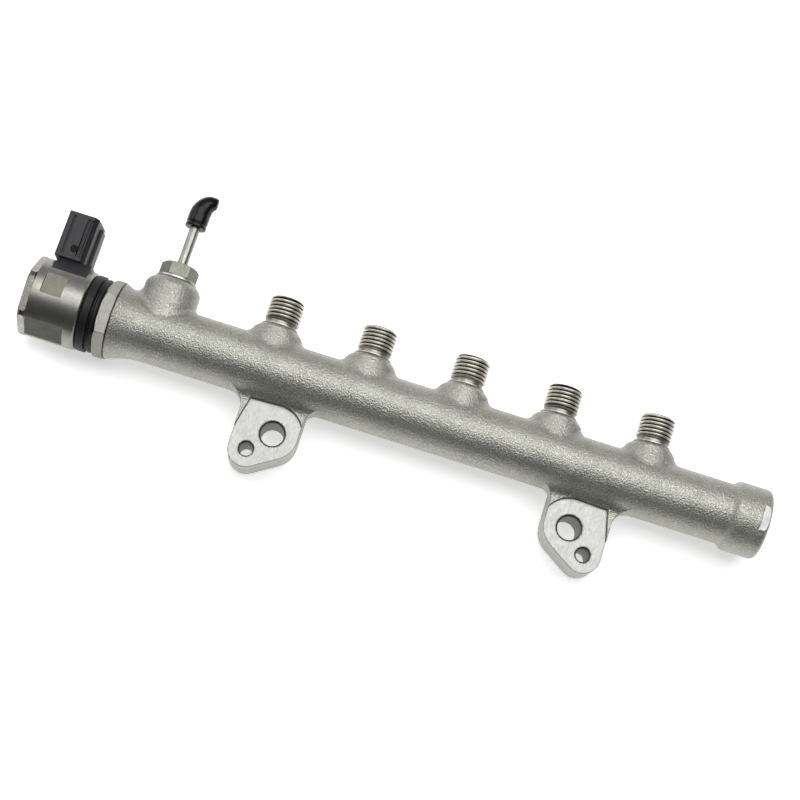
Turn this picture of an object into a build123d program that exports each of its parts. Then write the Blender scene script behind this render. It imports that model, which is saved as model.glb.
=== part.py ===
from build123d import *
import math
import os

# Diesel common rail: a forged high-pressure tube with five injector-line ports, two bolt flanges,
# a pressure control valve in the left end, an open sensor socket in the right end and a return outlet.
# Millimetres. X runs along the rail from valve end to sensor end, Y points to the port tips, and Z is
# the bolt-head side. The origin is midway between the two bolt holes, on the seat plane (Z = 0).

# ---------------------------------------------------------------- driving dimensions: rail
bolt_spacing = 118.4        # between the two mounting bolt holes
rail_y = 24.0               # rail axis from the line of bolt holes
rail_z = 13.0               # rail axis above the seat plane
rail_left = -130.5          # left end face, which the valve hex closes
rail_right = 130.5          # right end face, with the sensor socket
tube_r = 12.0
bore_r = 5.0                # high-pressure store along the middle
collar_r = 15.4             # left end, flared to carry the valve
collar_length = 14.5
end_boss_r = 13.8
end_boss_length = 14.0
end_boss_ramp = 3.4         # soft step up from the tube
end_round = 1.8
end_flat_depth = 0.85       # indexing flat milled on the rim of the right end
end_flat_length = 3.6

# injector-line ports
port_count = 5
port_pitch = 37.7
port_middle_x = 5.9         # the middle port
port_boss_r = 9.9           # forged boss, a cone that starts inside the tube
port_boss_height = 16.6     # its top, from the rail axis
port_stem_overlap = 1.0     # how far a spigot reaches into its boss
port_shoulder_r = 8.4       # shoulder at the top of its cone
port_shoulder_height = 15.5
port_top_r = 7.3
port_blend_r = 3.3
port_land_height = 0.7      # machined land under the thread
port_land_r = 7.2
port_neck_r = 6.1
port_neck_height = 1.4
thread_r = 7.0              # M14 x 1.5 major radius
port_tip_height = 28.4      # from the rail axis
port_tip_chamfer = 0.9
port_drill_r = 1.5
port_cone_mouth_r = 4.0
port_cone_half_angle = 30.0

# mounting flanges
flange_thickness = 15.0
flange_bolt_r = 10.0        # round about the bolt hole
flange_dowel_r = 7.1        # round about the locating hole
bolt_hole_r = 4.5
bolt_hole_chamfer = 0.75
dowel_hole_r = 2.6
dowel_hole_chamfer = 0.6
dowel_out = 7.75            # locating hole, outwards from the bolt hole
dowel_down = 8.4            # and further from the tube
flange_stock = 1.4          # forging stock left standing beside the milled face
mill_r = 11.4               # cutter path round the bolt hole
flange_blend_r = 5.0        # milled side, up to the tube
flange_outer_flare = 6.5    # lug wall into the tube, on the locating hole's side
flange_inner_flare = 4.5    # and on the other side
flange_root = 5.0           # how near the lug reaches to the rail axis
mill_out = 12.2             # outer corner of the cutter path, from the bolt hole
mill_up = 10.9

# return outlet
return_x = -113.4
return_boss_r = 11.0
return_boss_height = 21.8
return_boss_round = 4.0
return_boss_blend = 2.5
return_thread_r = 4.75      # M10 x 1, drawn at its mean radius
return_thread_depth = 9.5
return_passage_r = 1.75
return_bore_overlap = 2.0   # past the wall of the valve's chamber
fitting_washer_r = 8.2
fitting_washer_thickness = 1.0
fitting_hex = 13.0          # across flats
fitting_hex_height = 5.2
fitting_turn = 7.0          # degrees that the hexagon is turned from square
fitting_chamfer = 0.5
return_shank_length = 8.5   # below the washer's top
fitting_neck_height = 0.4
fitting_neck_r = 6.2
return_tube_r = 2.0
return_tube_bore_r = 1.25
return_tube_seat = 3.5      # depth of the brazed socket in the fitting
return_tube_top = 53.0      # from the rail axis
cap_bottom = 45.2           # from the rail axis
cap_r = 4.2
cap_bend_height = 51.5      # where the cap starts to bend over, from the rail axis
cap_bend_out = 1.6
cap_bend_up = 55.6
cap_bend_r = 3.6
cap_tip_reach = 5.6
cap_tip_height = 57.2
cap_tip_r = 2.25

# sensor socket (M18 x 1.5) in the right end
socket_r = 8.2              # minor radius of the thread
socket_depth = 14.0
socket_mouth_chamfer = 1.0
socket_seat_r = 6.4

# valve seat bores in the left end
seal_bore_r = 10.4
seal_bore_depth = 6.2
valve_thread_r = 8.6        # M18 x 1.5, drawn at its mean radius
valve_thread_depth = 13.5
chamber_r = 9.0
chamber_depth = 22.0
nose_bore_r = 6.0
nose_bore_depth = 27.0
bore_lead = 0.6

# pressure control valve
hex_flats = 27.0
hex_length = 4.8
hex_chamfer = 0.9
hex_turn = -5.7             # degrees from the bolt-head side to the nearest flat
sleeve_r = 7.0
sleeve_wall = 1.3
shoulder_r = 9.5            # carries the rubber ring
shoulder_overlap = 1.0      # into the hexagon
ring_length = 6.4
ring_r = 15.1               # wide band beside the can
ring_second_r = 14.6        # narrow band beside the hexagon
ring_groove_depth = 1.5
ring_groove_width = 0.7
ring_groove_place = 4.2     # from the can
ring_edge = 0.7
can_r = 15.5
can_wall = 1.5
can_length = 19.9
can_corner = 1.3
can_window_height = 9.9     # the window for the connector, from the rail axis
can_window_length = 13.5
can_window_setback = 2.8    # from the can's right end
can_flat_depth = 1.0        # pressed flat low on the front of the can
can_flat_length = 15.3
can_flat_turn = -66.5       # degrees from the bolt-head side
field_depth = 0.3           # shallow stamped field on the front of the can
field_length = 8.0
field_width = 8.6
field_from_left = 3.4
field_turn = 11.0
cover_thickness = 2.9
cover_overhang = 0.1        # turned corners of the hexagonal end cover, outside the can
cover_flat_inset = 1.65     # its flats, inside those corners
cover_turn = -13.0
cover_round = 0.7
cover_spigot = 1.6
cover_rim_gap = 0.4         # dark groove between cover and can
mould_wall = 1.2            # plastic round the winding
winding_inset = 0.8         # thicker wall at the coil's left end
winding_inner_r = 8.6
winding_outer_r = 12.6
pole_flange = 1.0
armature_r = 5.45
armature_length = 9.6
armature_gap = 0.5          # working air gap to the pole core
armature_setback = 3.0      # from the hex to the armature
pin_r = 1.2
pin_guide_length = 9.7
pin_hold = 4.0              # pressed into the armature
ball_r = 1.0
seat_r = 4.0
seat_length = 5.5
seat_reach = 1.0            # past the face that the valve seals on
seat_orifice_r = 0.5
seat_mouth_r = 1.6          # 90 degree cone
nose_clearance = 0.3
barrel_r = 7.6              # housing inside the return chamber
housing_chamber_r = 3.4
cross_drill_r = 1.1
cross_drill_count = 4
cross_drill_back = 1.6      # from the seat
seal_groove_r = 8.5
seal_groove_start = 1.5     # from the hex
seal_groove_width = 3.6
o_ring_section_r = 0.9
support_ring_width = 1.3
filter_r = 4.8
filter_length = 3.2
filter_wall = 0.5
filter_hole_r = 0.45
filter_hole_count = 6
spring_wire_r = 0.3
spring_r = 1.9
spring_turns = 4
spring_pocket_r = 2.7
spring_pocket_depth = 4.0
pole_pocket_depth = 2.0

# connector on the can
connector_overlap = 1.8     # over the can, left of the window
connector_width = 11.7
connector_front = 7.5       # from the rail axis, towards the bolt-head side
connector_back = -6.5
connector_lift = 0.8        # above the can
connector_top = 35.0
connector_edge = 0.4
connector_corner = 1.5      # bevel down the front right edge
connector_splay = 0.9       # how much wider the shell is at the back
connector_wall = 1.6
connector_socket_depth = 12.5
saddle_front = 6.4          # the neck under the connector, at its top
latch_reach = 0.6           # rear rib, proud of the shell's splayed side
latch_depth = 6.5
latch_top = 33.2
groove_depth = 0.7
groove_width = 0.9
groove_margin = 1.6         # grooves end short of the connector's foot and top
groove_places = (2.6, 8.3, 9.7)   # from the connector's left edge
gate_mark_r = 1.4           # shallow round mark on the front
gate_mark_depth = 0.3
gate_mark_from_left = 6.4
gate_mark_height = 20.5     # from the rail axis
terminal_width = 2.4
terminal_thickness = 0.8
terminal_height = 8.5
terminal_pitch = 4.6
terminal_root = 3.0         # held in the moulding below the socket floor

# clearances
thread_fit = 0.04
slip_fit = 0.05
seat_fit = 0.02
guide_fit = 0.03

# ---------------------------------------------------------------- derived places
RAIL = Plane(origin=(0, rail_y, rail_z), x_dir=(1, 0, 0), z_dir=(0, 0, 1))
HALF = Plane(origin=(0, rail_y, rail_z), x_dir=(1, 0, 0), z_dir=(0, 1, 0))   # local y is -Z
rail_axis = Axis((0, rail_y, rail_z), (1, 0, 0))
port_xs = [port_middle_x + port_pitch * (k - (port_count - 1) / 2) for k in range(port_count)]
bolt_x = bolt_spacing / 2
port_land_top = port_boss_height + port_land_height
flange_top = flange_thickness
stock_reach = 3 * flange_bolt_r                      # below the rail, past the lug's outline
stock_half_length = 4 * flange_bolt_r                # along the rail, past it too
port_boss_foot = tube_r / 2                          # a boss starts inside the tube
port_stem_foot = port_boss_height - port_stem_overlap
return_bore_foot = valve_thread_r - return_bore_overlap
valve_seat_face = rail_left + chamber_depth          # shoulder that takes the valve's sealing edge
hex_left = rail_left - hex_length
shoulder_end = hex_left + shoulder_overlap
ring_left = hex_left - ring_length
can_right = ring_left
can_left = can_right - can_length
cover_right = can_left
cover_left = cover_right - cover_thickness
spigot_right = cover_right + cover_spigot
cover_r = can_r + cover_overhang
cover_flats = 2 * (cover_r - cover_flat_inset)
can_window_right = can_right - can_window_setback
can_window_left = can_window_right - can_window_length
sleeve_left = spigot_right + pole_flange
sleeve_bore_r = sleeve_r - sleeve_wall
armature_right = hex_left - armature_setback
armature_left = armature_right - armature_length
pole_right = armature_left - armature_gap
guide_left = armature_right + armature_gap
guide_right = guide_left + pin_guide_length
seat_right = valve_seat_face + seat_reach
seat_left = seat_right - seat_length
ball_x = seat_left + seat_mouth_r - (ball_r + seat_fit) * math.sqrt(2)
mould_left = spigot_right + seat_fit
mould_right = can_right - can_wall - seat_fit
mould_r = can_r - can_wall - slip_fit
winding_left = mould_left + mould_wall + winding_inset
winding_right = mould_right - mould_wall
connector_left = can_window_left - connector_overlap
connector_right = connector_left + connector_width
connector_foot = can_r + connector_lift
socket_floor = connector_top - connector_socket_depth
boss_seat = return_boss_height
fitting_seat = boss_seat + fitting_washer_thickness
fitting_top = fitting_seat + fitting_neck_height + fitting_hex_height


def upright(x):
    """Axis of something that stands on the rail at x, such as a port."""
    return Axis((x, rail_y, rail_z), (0, 1, 0))


def post(x):
    """Plane through such an axis: local x is the radius, towards the back, and local y the height."""
    return Plane(origin=(x, rail_y, rail_z), x_dir=(0, 0, -1), z_dir=(1, 0, 0))


def station(x):
    """Plane across the rail axis at x, with its local x along +Y and its local y along +Z."""
    return Plane(origin=(x, rail_y, rail_z), x_dir=(0, 1, 0), z_dir=(1, 0, 0))


def level(height, x=0.0):
    """Plane at a height above the rail axis, with its local x along +X and its local y along -Z."""
    return Plane(origin=(x, rail_y + height, rail_z), x_dir=(1, 0, 0), z_dir=(0, 1, 0))


def tilted_station(x, turn):
    """Plane across the rail axis at x whose local x points away from a flat turned by these degrees."""
    angle = math.radians(turn)
    return Plane(origin=(x, rail_y, rail_z), x_dir=(0, math.sin(angle), math.cos(angle)),
                 z_dir=(1, 0, 0))


def root_edges(part, x, reach):
    """The edge where something round that stands at x, of radius reach, meets the tube."""
    def is_root(edge):
        box = edge.bounding_box()
        return (abs(edge.center().X - x) < reach and box.size.Z > 3 and box.size.X < 2 * reach + 1
                and box.min.Y > rail_y + 1 and box.size.Y > 1)
    return part.edges().filter_by(is_root)


os.makedirs("parts", exist_ok=True)

# ---------------------------------------------------------------- mounting lugs of the rail body
stock_top = flange_top + flange_stock
blend_y = rail_y - math.sqrt((tube_r + flange_blend_r) ** 2 - (stock_top + flange_blend_r - rail_z) ** 2)
blend_share = flange_blend_r / (tube_r + flange_blend_r)
blend_end = (blend_y + (rail_y - blend_y) * blend_share,
             stock_top + flange_blend_r - (stock_top + flange_blend_r - rail_z) * blend_share)
with BuildPart() as lug:
    # outline seen from the bolt-head side
    with BuildSketch(Plane.XY):
        with BuildLine():
            root_y = rail_y - flange_root
            inner_wall = bolt_x - flange_bolt_r
            outer_wall = bolt_x + dowel_out + flange_dowel_r
            Polyline((inner_wall, 0), (inner_wall, root_y), (outer_wall, root_y),
                     (outer_wall, -dowel_down))
            low_turn = math.degrees(math.atan2(dowel_down, dowel_out) + math.acos(
                (flange_bolt_r - flange_dowel_r) / math.hypot(dowel_out, dowel_down)))
            end = CenterArc((bolt_x + dowel_out, -dowel_down), flange_dowel_r, 0, -low_turn)
            start = CenterArc((bolt_x, 0), flange_bolt_r, -low_turn, low_turn - 180)
            Line(end @ 1, start @ 0)
        make_face()
    extrude(amount=rail_z + tube_r)
    # hollow blends round the tube, from each side wall
    for wall, flare, way in ((inner_wall, flange_inner_flare, -1), (outer_wall, flange_outer_flare, 1)):
        with BuildSketch(HALF):
            with BuildLine():
                Polyline((wall, tube_r + flare), (wall - way, tube_r + flare), (wall - way, flange_root),
                         (wall + way * flare, flange_root), (wall + way * flare, tube_r))
                RadiusArc((wall + way * flare, tube_r), (wall, tube_r + flare), way * flare)
            make_face()
        revolve(axis=rail_axis)
    # section along the rail: flat seat, and a hollow blend up the front of the tube
    with BuildSketch(Plane.YZ.offset(bolt_x)):
        with BuildLine():
            Polyline(blend_end, (rail_y, rail_z), (root_y, rail_z - flange_root), (root_y, 0),
                     (-stock_reach, 0), (-stock_reach, stock_top), (blend_y, stock_top))
            RadiusArc((blend_y, stock_top), blend_end, -flange_blend_r)
        make_face()
    extrude(amount=stock_half_length, both=True, mode=Mode.INTERSECT)
    # milled face, which leaves a step where the cutter stopped short of the tube
    with BuildSketch(Plane.XY.offset(flange_top)):
        with BuildLine():
            CenterArc((bolt_x, 0), mill_r, 0, 360)
            CenterArc((bolt_x + dowel_out, -dowel_down), flange_dowel_r + flange_stock, 0, 360)
            Line((bolt_x, mill_up), (bolt_x + mill_out, mill_up))
        make_hull()
    extrude(amount=tube_r, mode=Mode.SUBTRACT)

# ---------------------------------------------------------------- rail body
with BuildPart() as rail_body:
    # forged tube with its flared collar and its stepped right end
    with BuildSketch(HALF):
        with BuildLine():
            collar_start = rail_left + collar_length
            boss_start = rail_right - end_boss_length
            ramp_middle = (boss_start + end_boss_ramp / 2, (tube_r + end_boss_r) / 2)
            ramp_end = (boss_start + end_boss_ramp, end_boss_r)
            Line((collar_start, tube_r), (boss_start, tube_r))
            TangentArc((boss_start, tube_r), ramp_middle, tangent=(1, 0))
            TangentArc(ramp_end, ramp_middle, tangent=(-1, 0))
            Line(ramp_end, (rail_right - end_round, end_boss_r))
            RadiusArc((rail_right - end_round, end_boss_r), (rail_right, end_boss_r - end_round), end_round)
            Polyline((rail_right, end_boss_r - end_round), (rail_right, 0), (rail_left, 0),
                     (rail_left, collar_r))
            TangentArc((collar_start, tube_r), (rail_left, collar_r), tangent=(-1, 0))
        make_face()
    revolve(axis=rail_axis)

    # forged bosses under the ports, each blended into the tube
    for x in port_xs:
        with BuildSketch(post(x)):
            with BuildLine():
                Polyline((0, port_boss_foot), (port_boss_r, port_boss_foot),
                         (port_shoulder_r, port_shoulder_height), (port_top_r, port_boss_height),
                         (0, port_boss_height), (0, port_boss_foot))
            make_face()
        revolve(axis=upright(x))
        fillet(root_edges(rail_body, x, port_boss_r), port_blend_r)

    # round boss of the return outlet, with a rounded crown
    with BuildSketch(post(return_x)):
        with BuildLine():
            Polyline((return_boss_r - return_boss_round, return_boss_height), (0, return_boss_height),
                     (0, 0), (return_boss_r, 0), (return_boss_r, return_boss_height - return_boss_round))
            RadiusArc((return_boss_r, return_boss_height - return_boss_round),
                      (return_boss_r - return_boss_round, return_boss_height), -return_boss_round)
        make_face()
    revolve(axis=upright(return_x))
    fillet(root_edges(rail_body, return_x, return_boss_r), return_boss_blend)

    add(lug.part)
    add(mirror(lug.part, about=Plane.YZ))

    # machined spigots for the union nuts of the lines: land, thread run-out, thread and tip
    for x in port_xs:
        with BuildSketch(post(x)):
            with BuildLine():
                neck_top = port_land_top + port_neck_height
                Polyline((0, port_stem_foot), (port_land_r, port_stem_foot),
                         (port_land_r, port_land_top), (port_neck_r, port_land_top),
                         (port_neck_r, neck_top), (thread_r, neck_top + thread_r - port_neck_r),
                         (thread_r, port_tip_height - port_tip_chamfer),
                         (thread_r - port_tip_chamfer, port_tip_height), (0, port_tip_height),
                         (0, port_stem_foot))
            make_face()
        revolve(axis=upright(x))

    # bores along the rail: valve seat, high-pressure store and sensor socket
    with BuildSketch(HALF):
        with BuildLine():
            nose_end = rail_left + nose_bore_depth
            socket_end = rail_right - socket_depth
            Polyline((rail_left, 0), (rail_left, seal_bore_r + bore_lead),
                     (rail_left + bore_lead, seal_bore_r), (rail_left + seal_bore_depth, seal_bore_r),
                     (rail_left + seal_bore_depth, valve_thread_r),
                     (rail_left + valve_thread_depth, valve_thread_r),
                     (rail_left + valve_thread_depth, chamber_r), (valve_seat_face, chamber_r),
                     (valve_seat_face, nose_bore_r), (nose_end, nose_bore_r),
                     (nose_end + nose_bore_r - bore_r, bore_r),
                     (socket_end - socket_seat_r + bore_r, bore_r), (socket_end, socket_seat_r),
                     (socket_end, socket_r), (rail_right - socket_mouth_chamfer, socket_r),
                     (rail_right, socket_r + socket_mouth_chamfer), (rail_right, 0), (rail_left, 0))
        make_face()
    revolve(axis=rail_axis, mode=Mode.SUBTRACT)

    # port drillings with their sealing cones
    for x in port_xs:
        with BuildSketch(post(x)):
            with BuildLine():
                cone_depth = (port_cone_mouth_r - port_drill_r) / math.tan(math.radians(port_cone_half_angle))
                Polyline((0, 0), (port_drill_r, 0), (port_drill_r, port_tip_height - cone_depth),
                         (port_cone_mouth_r, port_tip_height), (0, port_tip_height), (0, 0))
            make_face()
        revolve(axis=upright(x), mode=Mode.SUBTRACT)

    # tapped hole of the return outlet, down to the valve's return chamber
    with BuildSketch(post(return_x)):
        with BuildLine():
            thread_end = return_boss_height - return_thread_depth
            Polyline((0, return_bore_foot), (return_passage_r, return_bore_foot),
                     (return_passage_r, thread_end), (return_thread_r, thread_end),
                     (return_thread_r, return_boss_height), (0, return_boss_height),
                     (0, return_bore_foot))
        make_face()
    revolve(axis=upright(return_x), mode=Mode.SUBTRACT)

    # bolt holes and locating holes, countersunk on the bolt-head side
    for side in (-1, 1):
        for hole_x, hole_y, radius, sink in (
            (side * bolt_x, 0, bolt_hole_r, bolt_hole_chamfer),
            (side * (bolt_x + dowel_out), -dowel_down, dowel_hole_r, dowel_hole_chamfer),
        ):
            with BuildSketch(Plane(origin=(hole_x, hole_y, 0), x_dir=(1, 0, 0), z_dir=(0, -1, 0))):
                with BuildLine():
                    Polyline((0, 0), (radius, 0), (radius, flange_top - sink),
                             (radius + sink, flange_top), (0, flange_top), (0, 0))
                make_face()
            revolve(axis=Axis((hole_x, hole_y, 0), (0, 0, 1)), mode=Mode.SUBTRACT)

    # indexing flat on the rim of the right end
    with BuildSketch(station(rail_right)):
        with Locations((0, end_boss_r)):
            Rectangle(2 * end_boss_r, 2 * end_flat_depth)
    extrude(amount=-end_flat_length, mode=Mode.SUBTRACT)
rail_body.part.label = "rail_body"
export_step(rail_body.part, "parts/rail_body.step")

# ---------------------------------------------------------------- pressure control valve: metal parts
with BuildPart() as valve_housing:
    # hexagon, with the corners of its outer face turned off
    with BuildSketch(tilted_station(hex_left, hex_turn)):
        RegularPolygon(hex_flats / 2, 6, major_radius=False, rotation=30)
    extrude(amount=hex_length)
    with BuildSketch(HALF):
        with BuildLine():
            corner_r = hex_flats / 2 / math.cos(math.radians(30))
            Polyline((hex_left, 0), (hex_left, corner_r - 2 * hex_chamfer),
                     (hex_left + hex_chamfer, corner_r), (rail_left, corner_r), (rail_left, 0),
                     (hex_left, 0))
        make_face()
    revolve(axis=rail_axis, mode=Mode.INTERSECT)
    # sleeve, shoulder, seal groove, thread, barrel and nose
    with BuildSketch(HALF):
        with BuildLine():
            groove_left = rail_left + seal_groove_start
            groove_right = groove_left + seal_groove_width
            land_r = seal_bore_r - slip_fit
            land_end = rail_left + seal_bore_depth - seat_fit
            shank_r = valve_thread_r - thread_fit
            shank_end = rail_left + valve_thread_depth
            nose_r = nose_bore_r - nose_clearance
            Polyline((sleeve_left, 0), (sleeve_left, sleeve_r), (ring_left, sleeve_r),
                     (ring_left, shoulder_r), (shoulder_end, shoulder_r), (shoulder_end, land_r),
                     (groove_left, land_r), (groove_left, seal_groove_r),
                     (groove_right, seal_groove_r), (groove_right, land_r), (land_end, land_r),
                     (land_end, shank_r), (shank_end, shank_r), (shank_end, barrel_r),
                     (valve_seat_face - seat_fit, barrel_r), (valve_seat_face - seat_fit, nose_r),
                     (seat_right, nose_r), (seat_right, 0), (sleeve_left, 0))
        make_face()
    revolve(axis=rail_axis)
    # armature bore, pin guide, return chamber and the seat's bore
    with BuildSketch(HALF):
        with BuildLine():
            Polyline((sleeve_left, 0), (sleeve_left, sleeve_bore_r), (guide_left, sleeve_bore_r),
                     (guide_left, pin_r + guide_fit), (guide_right, pin_r + guide_fit),
                     (guide_right, housing_chamber_r), (seat_left, housing_chamber_r),
                     (seat_left, seat_r + seat_fit), (seat_right, seat_r + seat_fit), (seat_right, 0),
                     (sleeve_left, 0))
        make_face()
    revolve(axis=rail_axis, mode=Mode.SUBTRACT)
    # radial return drillings
    for k in range(cross_drill_count):
        turn = 360 / cross_drill_count * (k + 0.5)
        with BuildSketch(tilted_station(seat_left - cross_drill_back, turn).rotated((0, 90, 0))):
            Circle(cross_drill_r)
        extrude(amount=barrel_r + 1, mode=Mode.SUBTRACT)
valve_housing.part.label = "valve_housing"
export_step(valve_housing.part, "parts/valve_housing.step")

with BuildPart() as valve_seat:
    with BuildSketch(HALF):
        with BuildLine():
            cone_end = seat_left + seat_mouth_r - seat_orifice_r
            Polyline((seat_left, seat_mouth_r), (cone_end, seat_orifice_r),
                     (seat_right, seat_orifice_r), (seat_right, seat_r), (seat_left, seat_r),
                     (seat_left, seat_mouth_r))
        make_face()
    revolve(axis=rail_axis)
valve_seat.part.label = "valve_seat"
export_step(valve_seat.part, "parts/valve_seat.step")

with BuildPart() as valve_ball:
    with BuildSketch(HALF):
        with BuildLine():
            Line((ball_x - ball_r, 0), (ball_x + ball_r, 0))
            ThreePointArc((ball_x - ball_r, 0), (ball_x, ball_r), (ball_x + ball_r, 0))
        make_face()
    revolve(axis=rail_axis)
valve_ball.part.label = "valve_ball"
export_step(valve_ball.part, "parts/valve_ball.step")

with BuildPart() as armature:
    with BuildSketch(HALF):
        with BuildLine():
            pocket_floor = armature_left + spring_pocket_depth
            hold_start = armature_right - pin_hold
            Polyline((armature_left, spring_pocket_r), (armature_left, armature_r),
                     (armature_right, armature_r), (armature_right, pin_r + guide_fit),
                     (hold_start, pin_r + guide_fit), (hold_start, 0), (pocket_floor, 0),
                     (pocket_floor, spring_pocket_r), (armature_left, spring_pocket_r))
        make_face()
    revolve(axis=rail_axis)
armature.part.label = "armature"
export_step(armature.part, "parts/armature.step")

with BuildPart() as armature_pin:
    with BuildSketch(HALF):
        with BuildLine():
            Polyline((hold_start, 0), (hold_start, pin_r), (ball_x - ball_r, pin_r),
                     (ball_x - ball_r, 0), (hold_start, 0))
        make_face()
    revolve(axis=rail_axis)
armature_pin.part.label = "armature_pin"
export_step(armature_pin.part, "parts/armature_pin.step")

with BuildPart() as armature_spring:
    pole_pocket_floor = pole_right - pole_pocket_depth
    coil_start = pole_pocket_floor + spring_wire_r + seat_fit
    coil_end = pocket_floor - spring_wire_r - seat_fit
    with BuildLine():
        coil = Helix(pitch=(coil_end - coil_start) / spring_turns, height=coil_end - coil_start,
                     radius=spring_r, center=(coil_start, rail_y, rail_z), direction=(1, 0, 0))
    with BuildSketch(Plane(origin=coil @ 0, z_dir=coil % 0)):
        RegularPolygon(spring_wire_r, 6)
    sweep(path=coil, is_frenet=True)
armature_spring.part.label = "armature_spring"
export_step(armature_spring.part, "parts/armature_spring.step")

with BuildPart() as pole_core:
    with BuildSketch(HALF):
        with BuildLine():
            Polyline((spigot_right, 0), (spigot_right, sleeve_r), (sleeve_left, sleeve_r),
                     (sleeve_left, sleeve_bore_r - slip_fit), (pole_right, sleeve_bore_r - slip_fit),
                     (pole_right, spring_pocket_r), (pole_pocket_floor, spring_pocket_r),
                     (pole_pocket_floor, 0), (spigot_right, 0))
        make_face()
    revolve(axis=rail_axis)
pole_core.part.label = "pole_core"
export_step(pole_core.part, "parts/pole_core.step")

with BuildPart() as inlet_filter:
    # small cup on the nose, with a ring of strainer holes
    with BuildSketch(HALF):
        with BuildLine():
            cup_right = seat_right + filter_length
            Polyline((seat_right, filter_r - filter_wall), (seat_right, filter_r),
                     (cup_right, filter_r), (cup_right, 0), (cup_right - filter_wall, 0),
                     (cup_right - filter_wall, filter_r - filter_wall),
                     (seat_right, filter_r - filter_wall))
        make_face()
    revolve(axis=rail_axis)
    with BuildSketch(station(cup_right)):
        with PolarLocations(filter_r / 2, filter_hole_count):
            Circle(filter_hole_r)
    extrude(amount=-2 * filter_wall, mode=Mode.SUBTRACT)
inlet_filter.part.label = "inlet_filter"
export_step(inlet_filter.part, "parts/inlet_filter.step")

# ---------------------------------------------------------------- pressure control valve: coil
with BuildPart() as coil_can:
    # drawn cup, open towards the end cover
    with BuildSketch(HALF):
        with BuildLine():
            Polyline((can_left, can_r - can_wall), (can_left, can_r), (can_right - can_corner, can_r))
            RadiusArc((can_right - can_corner, can_r), (can_right, can_r - can_corner), can_corner)
            Polyline((can_right, can_r - can_corner), (can_right, sleeve_r + slip_fit),
                     (can_right - can_wall, sleeve_r + slip_fit),
                     (can_right - can_wall, can_r - can_wall), (can_left, can_r - can_wall))
        make_face()
    revolve(axis=rail_axis)
    # window for the connector
    with BuildSketch(level(can_window_height)):
        with Locations(((can_window_left + can_window_right) / 2, 0)):
            Rectangle(can_window_right - can_window_left, 2 * can_r + 2)
    extrude(amount=can_r, mode=Mode.SUBTRACT)
    # pressed flat, low on the front
    with BuildSketch(tilted_station(can_left, can_flat_turn)):
        with Locations((can_r, 0)):
            Rectangle(2 * can_flat_depth, 2 * can_r)
    extrude(amount=can_flat_length, mode=Mode.SUBTRACT)
    # shallow stamped field on the front
    with BuildSketch(tilted_station(can_left + field_from_left, field_turn)):
        with Locations((can_r, 0)):
            Rectangle(2 * field_depth + field_width ** 2 / 4 / can_r, field_width)
    extrude(amount=field_length, mode=Mode.SUBTRACT)
coil_can.part.label = "coil_can"
export_step(coil_can.part, "parts/coil_can.step")

with BuildPart() as can_cover:
    # hexagonal end cover with its corners turned off, and a spigot inside the can
    with BuildSketch(tilted_station(cover_left, cover_turn)):
        RegularPolygon(cover_flats / 2, 6, major_radius=False, rotation=30)
    extrude(amount=cover_thickness)
    with BuildSketch(HALF):
        with BuildLine():
            rim_r = can_r - cover_rim_gap
            Polyline((cover_left, 0), (cover_left, cover_r - cover_round),
                     (cover_left + cover_round, cover_r), (cover_right - cover_rim_gap, cover_r),
                     (cover_right, rim_r), (cover_right, 0), (cover_left, 0))
        make_face()
    revolve(axis=rail_axis, mode=Mode.INTERSECT)
    with BuildSketch(station(cover_right)):
        Circle(can_r - can_wall - slip_fit)
    extrude(amount=cover_spigot)
can_cover.part.label = "can_cover"
export_step(can_cover.part, "parts/can_cover.step")

with BuildPart() as coil_winding:
    with BuildSketch(HALF):
        with BuildLine():
            Polyline((winding_left, winding_inner_r), (winding_left, winding_outer_r),
                     (winding_right, winding_outer_r), (winding_right, winding_inner_r),
                     (winding_left, winding_inner_r))
        make_face()
    revolve(axis=rail_axis)
coil_winding.part.label = "coil_winding"
export_step(coil_winding.part, "parts/coil_winding.step")

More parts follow.
